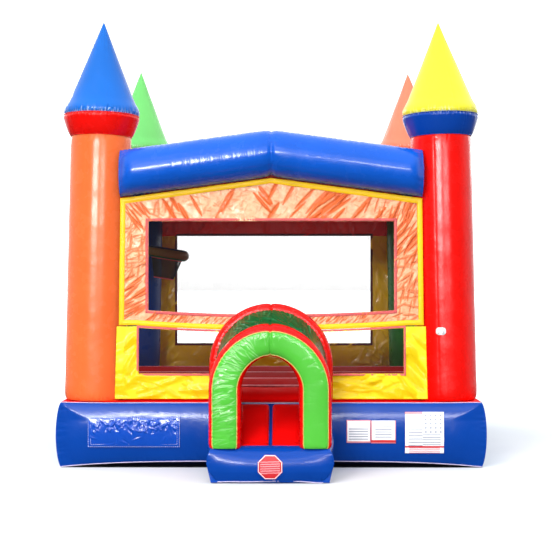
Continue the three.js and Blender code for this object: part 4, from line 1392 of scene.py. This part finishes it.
# A spec's eighth number is how strongly its creases are painted in the deeper orange: painted shade.
BANNER_FOLDS = [
    ((-1.36, -1.14, 0.72, 1.15), 30, 33, 10, 0.34, 0.016, 0.011, 0.9),
    ((-1.36, -1.14, 1.10, 1.70), 46, 50, 50, 0.18, 0.014, 0.009, 0.6),
    ((-1.36, -1.12, 1.66, 1.84), 14, -52, 8, 0.26, 0.016, 0.011, 0.9),
    ((-1.10, -0.90, 1.70, 1.88), 8, 86, 10, 0.22, 0.014, 0.009, 0.7),
    ((-0.98, -0.60, 1.72, 1.90), 4, -60, 5, 0.34, 0.030, 0.014, 1.0),
    ((-0.50, -0.38, 1.74, 1.92), 2, 66, 4, 0.36, 0.032, 0.014, 1.0),
    ((-0.30, -0.05, 1.72, 1.96), 3, -56, 8, 0.34, 0.030, 0.014, 1.0),
    ((0.00, 0.20, 1.72, 1.98), 3, 60, 6, 0.38, 0.034, 0.014, 1.0),
    ((0.22, 1.00, 1.68, 1.98), 19, 42, 9, 0.44, 0.028, 0.015, 1.0),
    ((0.90, 1.36, 1.66, 1.86), 24, 70, 8, 0.28, 0.015, 0.012, 0.9),
    ((1.14, 1.36, 1.30, 1.70), 30, 55, 16, 0.28, 0.017, 0.012, 0.9),
    ((1.14, 1.36, 0.72, 1.35), 40, 35, 50, 0.20, 0.016, 0.011, 0.7),
    ((-1.10, 0.00, 0.75, 0.85), 80, 50, 10, 0.13, 0.009, 0.007, 0.9),
    ((0.00, 1.10, 0.75, 0.85), 80, 46, 10, 0.13, 0.009, 0.007, 0.9),
    ((-1.10, 1.30, 1.68, 2.00), 120, 20, 60, 0.10, 0.010, 0.005, 0.45),
    ((-1.36, 1.36, 0.75, 2.00), 420, 30, 70, 0.09, 0.009, 0.004, 0.40),
]

# A spec's eighth number is how strongly its creases are painted in the darker yellow: painted shade.
LOWER_FOLDS = [
    ((0.60, 1.40, 0.04, 0.24), 7, -14, 14, 0.50, 0.075, 0.012, 0.7),
    ((0.60, 1.40, 0.04, 0.26), 8, 28, 20, 0.26, 0.050, 0.010, 0.6),
    ((1.24, 1.42, 0.10, 0.66), 8, 125, 14, 0.36, 0.060, 0.011, 0.7),
    ((0.58, 1.44, 0.02, 0.70), 26, 0, 90, 0.12, 0.030, 0.004, 0.1),
]

WALL_FOLDS = [
    ((-1.4, 1.4, 0.02, 0.36), 60, 15, 60, 0.45, 0.050, 0.012),
    ((-1.4, -1.15, 0.02, 1.85), 40, 70, 40, 0.35, 0.045, 0.010),
    ((1.15, 1.4, 0.02, 1.85), 40, -70, 40, 0.35, 0.045, 0.010),
    ((-1.4, 1.4, 1.60, 1.90), 60, 80, 40, 0.30, 0.040, 0.010),
]


def add_front_banner():
    corners = [(-1.41 + STRIP, SILL + STRIP), (1.41 - STRIP, SILL + STRIP),
               (1.40 - STRIP, EAVE - STRIP), (-1.40 + STRIP, EAVE - STRIP)]
    counts = (380, 160, 380, 160)
    banner, banner_area = ring_sheet("banner_sheet", WINDOW, corners, front_points, BANNER_FOLDS,
                                     BANNER_ORANGE_PAINTED_GLARE, ["front_banner"], 400, counts, 52,
                                     GABLE - STRIP)
    outer_corners = [(-1.41, SILL), (1.41, SILL), (1.40, EAVE), (-1.40, EAVE)]
    inner = side_loop(corners, counts, GABLE - STRIP)
    outer = side_loop(outer_corners, counts, GABLE)
    plan = between(inner, outer, 11)
    share = np.linspace(0, 1, 11)[:, None]
    run = np.arange(plan.shape[1])[None] * 0.0099 + 0 * share
    rise = 0.004 + 0.006 * np.sin(np.pi * share) ** 0.5 - puckers(run, share * STRIP, 0.028, 0.03, 0.003, 420)
    rise -= puckers(run, (1 - share) * STRIP, 0.028, 0.03, 0.003, 421)
    border = add_grid("banner_border_strip", front_points(plan[..., 0], plan[..., 1], rise), BORDER,
                      ["banner_border"], wrap_cols=True)
    hem = add_hem("banner_hem", WINDOW, front_points, HEM, CORAL, counts, 430)
    stitches = add_stitches("banner_stitches", [side_loop(box_corners(grown(WINDOW, 0.008)), counts),
                                                side_loop(box_corners(grown(WINDOW, 0.021)), counts)],
                            front_points, 0.012, 0.0085, DARK_STITCH)
    add_net("front_net_threads", WINDOW, front_points, "front_window_net")


def add_lower_panels():
    counts = (90, 62, 90, 62)
    for label, sign in SIDES:
        def side_points(across, height, out, sign=sign):
            above = np.clip(height + BASE_TOP - 0.940, 0, 0.5)
            beside_arch = np.sqrt(0.556 ** 2 - above ** 2)
            pull = (0.575 - beside_arch) * np.clip((1.0 - across) / 0.425, 0, 1.1)
            return front_points(sign * (across - pull), height, out)
        corners = [(0.575, WALL_LOW), (1.446, WALL_LOW), (1.430, SILL - 0.010), (0.575, SILL - 0.010)]
        node = f"front_lower_panel_{label}"
        panel, panel_area = ring_sheet(f"lower_sheet_{label}", LOWER_WINDOW, corners, side_points,
                                       LOWER_FOLDS, PANEL_YELLOW, [node], 440 + sign,
                                       counts, 34)
        hem = add_hem(f"lower_hem_{label}", LOWER_WINDOW, side_points, 0.020, CORAL, counts, 450 + sign)
        add_net(f"lower_net_threads_{label}", LOWER_WINDOW, side_points, f"front_lower_net_{label}")


def add_rear_wall():
    def side_points(across, height, out):
        return on_wall("rear", across, height, out)

    def inside_points(across, height, out):
        return side_points(across, height, -out)

    x0, x1, z0, z1 = REAR_WINDOW
    counts = (120, 210, 120)
    inner_corners = [(x0, z1), (x0, z0), (x1, z0), (x1, z1)]
    outer_corners = [(-1.406, z1), (-1.446, WALL_LOW), (1.446, WALL_LOW), (1.406, z1)]

    def open_loop(corners):
        edges = [np.linspace(corners[i], corners[i + 1], n, endpoint=False) for i, n in enumerate(counts)]
        return np.concatenate(edges + [np.array([corners[3]])])

    inner, outer = open_loop(inner_corners), open_loop(outer_corners)
    plan = between(inner, outer, 26)
    across, height = plan[..., 0], plan[..., 1]
    out = folds(across, height, WALL_FOLDS, 460)
    sample = xyz(across, height, 0)
    out += noise(sample, 0.22, 461) * 0.006
    panel = add_grid("rear_sheet", side_points(across, height, out), WALL_YELLOW,
                     ["rear_panel"], thick=0.002)
    hem_counts = (230, 130, 230, 130)
    hem = add_hem("rear_hem", REAR_WINDOW, side_points, HEM, MAROON, hem_counts, 462)
    inside_hem = add_hem("rear_inside_hem", REAR_WINDOW, inside_points, HEM, MAROON, hem_counts, 463)

    across = np.linspace(-1.404, 1.404, 260)
    top = EAVE + (GABLE - EAVE) * (1 - np.abs(across) / 1.404)
    share = np.linspace(0, 1, 30)[:, None]
    height = z1 + (top[None] - z1) * share
    across_grid = across[None] + 0 * share
    out = folds(across_grid, height, WALL_FOLDS[3:], 470)
    out += puckers(across_grid, (1 - share) * 0.4, 0.05, 0.10, 0.006, 471)
    header = add_grid("rear_header_sheet", side_points(across_grid, height, out), RED,
                      ["rear_header"], thick=0.002)
    add_net("rear_net_threads", REAR_WINDOW, side_points, "rear_net")


def add_side_walls():
    counts = (210, 120, 210, 120)
    for label, seed in [("left", 480), ("right", 490)]:
        def side_points(across, height, out, label=label):
            return on_wall(label, across, height, out)
        corners = [(-1.364, WALL_LOW), (1.364, WALL_LOW), (1.328, EAVE - 0.002), (-1.328, EAVE - 0.002)]
        panel, panel_area = ring_sheet(f"{label}_sheet", SIDE_WINDOW, corners, side_points, WALL_FOLDS,
                                       WALL_YELLOW, [f"{label}_panel"], seed, counts, 30)
        hem = add_hem(f"{label}_hem", SIDE_WINDOW, side_points, HEM, CORAL, counts, seed + 5)
        add_net(f"{label}_net_threads", SIDE_WINDOW, side_points, f"{label}_net")


# ---------------------------------------------------------------- hoop


def add_hoop():
    centre = middle("hoop_ring") + Vector((-0.010, 0, 0.042))
    ring, tube = 0.187, 0.064
    around = circle(120)
    turn = circle(40)
    turn_grid, around_grid = np.meshgrid(turn, around)
    fold = 0.0 * turn_grid
    for number, seam in enumerate((0.75, 2.4, -0.75, -2.4)):
        away = np.abs(angle_from(turn_grid, seam)) * tube
        fold += puckers(around_grid * ring, away, 0.03, 0.03, 0.004, 500 + number, 2 * np.pi * ring)
        fold += 0.002 * np.exp(-(away / 0.005) ** 2)
    reach = tube - fold
    radius = ring + reach * np.cos(turn_grid)
    local = xyz(radius * np.cos(around_grid), radius * np.sin(around_grid), reach * np.sin(turn_grid))
    tilt = np.array(Matrix.Rotation(math.radians(9), 3, "Y")).T

    def tilted(points):
        return points @ tilt + np.array(centre)

    # The blue top and yellow sides use darkened colours: painted shade.
    panel_turn = angle_from(turn + np.pi / len(turn), 0)
    to_the_side = (np.abs(panel_turn) <= 0.75) | (np.abs(panel_turn) >= 2.4)
    colour = np.where(to_the_side, 1, np.where(panel_turn > 0, 0, 2))
    add_grid("hoop_skin", tilted(local)[::-1], [HOOP_BLUE_PAINTED_SHADE, HOOP_YELLOW_PAINTED_SHADE, DARK_GREEN],
             ["hoop_ring"], wrap_rows=True, wrap_cols=True, indices=np.tile(colour, len(around)))

    soup = Soup()
    top, bottom = -tube - 0.002, -tube - 0.225
    count = 46
    for hand in (-1, 1):
        for index in range(count):
            share = np.linspace(0, 1, 10)
            radius = 0.172 - 0.058 * share
            angle = 2 * np.pi * index / count + hand * 1.1 * share
            path = xyz(radius * np.cos(angle), radius * np.sin(angle), top + (bottom - top) * share)
            soup.tube(tilted(path), 0.0028, up=(0.3, 0.2, 0.9), sides=5)
    soup.piece("hoop_net_threads", HOOP_CORD, "black_net", "root", ["hoop_net"])
    hem = Soup()
    hem.tube(tilted(ring_path(0.111, bottom, 60)), 0.007, closed=True)
    hem.tube(tilted(ring_path(0.172, top, 60)), 0.006, closed=True)
    hem.piece("hoop_net_hem", CORAL, "hem_tape")


# ---------------------------------------------------------------- labels, badge, pocket and strap


def base_front_point(across, height, out):
    """A point proud of the bulged front of the base."""
    bottom = base_bottom(across)
    top = base_top_edge(across, BASE_SEED)
    share = np.clip((height - bottom) / (top - bottom), 0, 1)
    _, wall, _ = base_skin(across, share, BASE_SEED)
    return xyz(across, -wall - out, height)


LABEL_INKS = [LABEL_WHITE, LABEL_GREY, LABEL_PINK, LABEL_RED]
WHITE_INK, GREY_INK, PINK_INK, RED_INK = range(4)
LABEL_CELL = 0.0075
LABEL_OUT = 0.0045
LABEL_THICK = 0.0012


def label_sheet(name, box, paint):
    """A thin label on the base, painted cell by cell with plain generic blocks."""
    x0, x1, z0, z1 = box
    cols = int((x1 - x0) / LABEL_CELL)
    rows = int((z1 - z0) / LABEL_CELL)
    across, height = np.meshgrid(np.linspace(x0, x1, cols + 1), np.linspace(z0, z1, rows + 1))
    points = base_front_point(across, height, LABEL_OUT)
    share_x = (np.arange(cols) + 0.5) / cols
    share_z = (np.arange(rows) + 0.5) / rows
    indices = [paint(sx, sz, ix, iz) for iz, sz in enumerate(share_z) for ix, sx in enumerate(share_x)]
    sheet = add_grid(name, points, LABEL_INKS, indices=indices, thick=LABEL_THICK)


def paint_left_half(share_x, share_z, ix, iz):
    if share_x < 0.035 or share_x > 0.965 or share_z < 0.06 or share_z > 0.95:
        return PINK_INK
    if iz % 3 == 1 and 0.1 < share_x < 0.9 and share_z < 0.7:
        return GREY_INK
    return WHITE_INK


def paint_right_half(share_x, share_z, ix, iz):
    if share_z < 0.15:
        return RED_INK if share_z > 0.03 else PINK_INK
    if share_x > 0.965 or share_x < 0.02:
        return PINK_INK
    if iz % 3 == 1 and 0.15 < share_x < 0.85 and 0.25 < share_z < 0.8:
        return GREY_INK
    return WHITE_INK


def paint_rules(share_x, share_z, ix, iz):
    if share_z < 0.15:
        return PINK_INK if iz % 2 == 0 and 0.1 < share_x < 0.9 else WHITE_INK
    if share_z < 0.175:
        return RED_INK
    if share_x < 0.45 and share_z > 0.93:
        return PINK_INK
    if share_x < 0.45:
        line = iz % 4 == 1 and share_x > 0.08 and share_z < 0.6
    elif share_z > 0.5:
        line = iz % 5 < 2 and ix % 6 < 2 and share_x < 0.94
    else:
        line = iz % 3 == 1 and share_x < 0.92
    return GREY_INK if line else WHITE_INK


def add_labels():
    label_sheet("label_left", (0.690, 0.910, 0.232, 0.440), paint_left_half)
    label_sheet("label_right", (0.914, 1.140, 0.228, 0.436), paint_right_half)
    label_sheet("label_rules", (1.225, 1.580, 0.136, 0.514), paint_rules)


def add_badge():
    """The octagonal sticker on the step's front, with plain bars only."""
    radius = 0.112
    centre_z = 0.145
    turn = circle(96)
    octagon = radius * math.cos(math.pi / 8) / np.cos(((turn + math.pi / 8) % (math.pi / 4)) - math.pi / 8)
    rings = np.linspace(0.001, 1, 26)
    reach = rings[:, None] * octagon[None]
    across = reach * np.cos(turn)
    up = reach * np.sin(turn)
    height = centre_z + up
    y = STEP_FRONT + 0.0245 - 0.033 * np.sin(np.pi * np.clip(height / 0.42 + 0.02, 0, 1)) ** 0.7
    centre_x = (across[:-1] + across[1:]) / 2
    centre_up = (up[:-1] + up[1:]) / 2
    ring_share = (rings[:-1] + rings[1:])[:, None] / 2 + 0 * centre_x
    bars = np.floor((centre_up + radius) / 0.0095).astype(int) % 2 == 0
    bars &= (np.abs(centre_up + 0.006) < 0.055) & (np.abs(centre_x) < 0.082)
    indices = np.where(bars, PINK_INK, RED_INK)
    indices = np.where(ring_share > 0.92, WHITE_INK, indices)
    indices = np.where(ring_share > 0.965, PINK_INK, indices)
    badge = add_grid("step_badge", xyz(across, y, height), LABEL_INKS, wrap_cols=True,
                     indices=indices.reshape(-1), thick=LABEL_THICK)


POCKET = (-1.675, -0.833, 0.192, 0.462)


def add_pocket():
    """Clear document pocket with a double stitched edge, crumpled film inside."""
    x0, x1, z0, z1 = POCKET
    across, height = np.meshgrid(np.linspace(x0, x1, 150), np.linspace(z0, z1, 52))
    share_x = (across - x0) / (x1 - x0)
    share_z = (height - z0) / (z1 - z0)
    inside = np.clip(16 * share_x * (1 - share_x) * share_z * (1 - share_z), 0, 1) ** 0.5
    specs = [((x0, x1, z0 + 0.15, z1 - 0.02), 46, 55, 40, 0.12, 0.016, 0.012),
             ((x0, x1, z0 + 0.13, z1 - 0.02), 46, -50, 40, 0.10, 0.014, 0.010),
             ((x0, x1, z0, z0 + 0.12), 12, 20, 70, 0.12, 0.016, 0.005)]
    out = 0.008 + 0.012 * inside * (0.4 + 0.6 * share_z) + folds(across, height, specs, 520) * inside
    points = base_front_point(across, height, np.clip(out, 0.005, None))
    film = add_grid("pocket_film", points, POCKET_FILM)
    stitches = Soup()
    for inset in (0.004, 0.026):
        loop = side_loop(box_corners(grown(POCKET, -inset)), (60, 20, 60, 20))
        closed = np.concatenate([loop, loop[:1]])
        reach = run_along(closed)
        for start in np.arange(0, reach[-1] - 0.012, 0.018):
            places = np.linspace(start, start + 0.011, 3)
            line_x = np.interp(places, reach, closed[:, 0])
            line_z = np.interp(places, reach, closed[:, 1])
            stitches.tube(base_front_point(line_x, line_z, 0.0085), 0.0024, up=(0, 1, 0), sides=5)
    trim = stitches.piece("pocket_stitches", STITCH, "white_webbing")


def add_column_patch():
    """A small reinforced patch with a webbing tab on the front right column."""
    side_x, side_y = 1, -1
    turn_mid = math.atan2(-1, -0.26)
    half_turn = 0.046 / COLUMN_RADIUS
    z0, z1 = 0.61, 0.68
    share, height = np.meshgrid(np.linspace(-1, 1, 24), np.linspace(z0, z1, 18))
    up_share = (2 * height - z0 - z1) / (z1 - z0)
    turn = turn_mid + half_turn * share * (1 - 0.22 * np.abs(up_share) ** 4)
    height = (z0 + z1) / 2 + (height - (z0 + z1) / 2) * (1 - 0.22 * np.abs(share) ** 4)
    radius = COLUMN_RADIUS + 0.006 - 0.003 * np.maximum(np.abs(share), np.abs(up_share)) ** 4
    points = xyz(radius * np.cos(turn), radius * np.sin(turn), height)
    add_grid("column_patch", tower_place(points, side_x, side_y), WHITE_WEB, thick=0.002)
    tab = Soup()
    for place in (-0.45, 0.45):
        angle = turn_mid + place * half_turn
        share = np.linspace(0, 1, 12)
        reach = COLUMN_RADIUS + 0.006 + 0.012 * np.sin(np.pi * share)
        up = z1 - 0.012 - (z1 - z0 - 0.024) * share
        path = xyz(reach * math.cos(angle), reach * math.sin(angle), up)
        away = (math.cos(angle), math.sin(angle), 0)
        tab.tube(tower_place(path, side_x, side_y), 0.008, up=away, flat=0.25)
    tab.piece("column_patch_tab", WHITE_WEB, "white_webbing")


# ---------------------------------------------------------------- inlet, zip and anchors


def add_inlet():
    lo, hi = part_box("inflation_tube")
    centre_x = (lo.x + hi.x) / 2
    centre_z = (lo.z + hi.z) / 2
    radius = (hi.x - lo.x) / 2
    run = np.linspace(lo.y, hi.y, 110)
    turn_grid, run_grid = np.meshgrid(circle(72), run)
    strap_y = hi.y - 0.16
    fold = 0.012 * np.exp(-((run_grid - strap_y) / 0.03) ** 2)
    off = np.abs(run_grid - strap_y)
    fold += puckers(turn_grid * radius, off, 0.03, 0.16, 0.009, 530, 2 * np.pi * radius)
    points = xyz(turn_grid, run_grid, 0)
    fold += np.abs(noise(points * [0.11, 1, 1], 0.11, 531)) * 0.006
    reach = radius - fold
    tube = xyz(centre_x + reach * np.cos(turn_grid), run_grid, centre_z + reach * np.sin(turn_grid))
    tube[..., 2] = np.maximum(tube[..., 2], lo.z)
    add_grid("inlet_sleeve", tube, BLUE, ["inflation_tube"], wrap_cols=True, thick=0.0016)
    strap = Soup()
    around = circle(72)
    waist = radius - 0.006
    strap_z = np.maximum(centre_z + waist * np.sin(around), 0.006)
    path = xyz(centre_x + waist * np.cos(around), strap_y, strap_z)
    strap.tube(path, 0.0028, up=(0, 1, 0), closed=True, flat=5)
    strap.piece("inlet_strap", BLACK_WEB, "black_webbing")


def small_box(soup, centre, half):
    corners = np.array(list(itertools.product((-1, 1), repeat=3))) * half + centre
    faces = [[0, 1, 3, 2], [4, 6, 7, 5], [0, 4, 5, 1], [2, 3, 7, 6], [0, 2, 6, 4], [1, 5, 7, 3]]
    soup.add(corners, faces)


def add_zip():
    lo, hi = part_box("zipper_tape")
    across, height = np.meshgrid(np.linspace(lo.x, hi.x, 90), np.linspace(lo.z, hi.z, 13))
    y = lo.y + 0.0015 + 0.0006 * np.sin(across * 60)
    add_grid("zip_tape", xyz(across, y, height), BLACK_WEB,
             ["zipper_tape"], thick=0.002)
    teeth = Soup()
    centre_z = (lo.z + hi.z) / 2
    for index, x in enumerate(np.arange(lo.x + 0.012, hi.x - 0.012, 0.004)):
        side = 0.0012 if index % 2 else -0.0012
        small_box(teeth, np.array([x, lo.y + 0.0030, centre_z + side]), np.array([0.0013, 0.0008, 0.0030]))
    teeth.piece("zip_teeth", STEEL, "steel")

    lo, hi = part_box("zipper_flap")
    across, height = np.meshgrid(np.linspace(lo.x, hi.x, 90), np.linspace(lo.z, hi.z, 26))
    y = (lo.y + hi.y) / 2 + 0.0012 * np.sin(across * 25) * (hi.z - height) / (hi.z - lo.z)
    flap = add_grid("zip_flap", xyz(across, y, height), BLUE,
                    ["zipper_flap"], body="zipper_flap", thick=0.0018)


def add_anchors():
    for label, (side_x, side_y, *_rest) in TOWERS.items():
        node = f"d_ring_{label}"
        lo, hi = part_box(node)
        wire = 0.004
        centre = Vector(((lo.x + hi.x) / 2, (lo.y + hi.y) / 2, hi.z - wire))
        reach = (hi.y - lo.y) / 2 - wire
        turn = np.linspace(0, np.pi, 40)
        bow = xyz(centre.x, centre.y - reach * np.cos(turn), centre.z - reach * np.sin(turn))
        bar = xyz(centre.x, np.linspace(centre.y + reach, centre.y - reach, 14)[1:-1], centre.z)
        ring = Soup()
        ring.tube(np.concatenate([bow, bar]), wire, up=(1, 0, 0), sides=14, closed=True)
        ring.piece(f"{label}_ring", STEEL, "steel", node, [node])


def finish_cad_nodes():
    """Better materials for the CAD nodes that stay as they are."""
    kept = {"base_underside": UNDERSIDE, "floor_baffles": UNDERSIDE, "zipper_slider": STEEL}
    for label in TOWERS:
        kept[f"anchor_tab_{label}"] = BLACK_WEB
    for name, material in kept.items():
        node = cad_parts[name]
        node.data.materials.clear()
        node.data.materials.append(material)


GROUND_RADIUS = 120


def add_ground():
    mesh = bpy.data.meshes.new("ground")
    rim = ring_path(GROUND_RADIUS, 0, 96)
    mesh.from_pydata(rim.tolist(), [], [list(range(96))])
    mesh.materials.append(pale_ground("pale_ground"))
    ground = bpy.data.objects.new("ground", mesh)
    bpy.context.collection.objects.link(ground)
    ground.visible_diffuse = False
    ground.visible_glossy = False


# ---------------------------------------------------------------- assembly

add_camera()
add_world()
add_lights()
add_ground()
finish_cad_nodes()
add_base()
add_floor_skin()
add_step()
add_pads()
add_tunnel()
for tower in TOWERS:
    add_tower(tower)
add_beams()
add_roof()
add_front_banner()
add_lower_panels()
add_rear_wall()
add_side_walls()
add_hoop()
add_labels()
add_badge()
add_pocket()
add_column_patch()
add_inlet()
add_zip()
add_anchors()
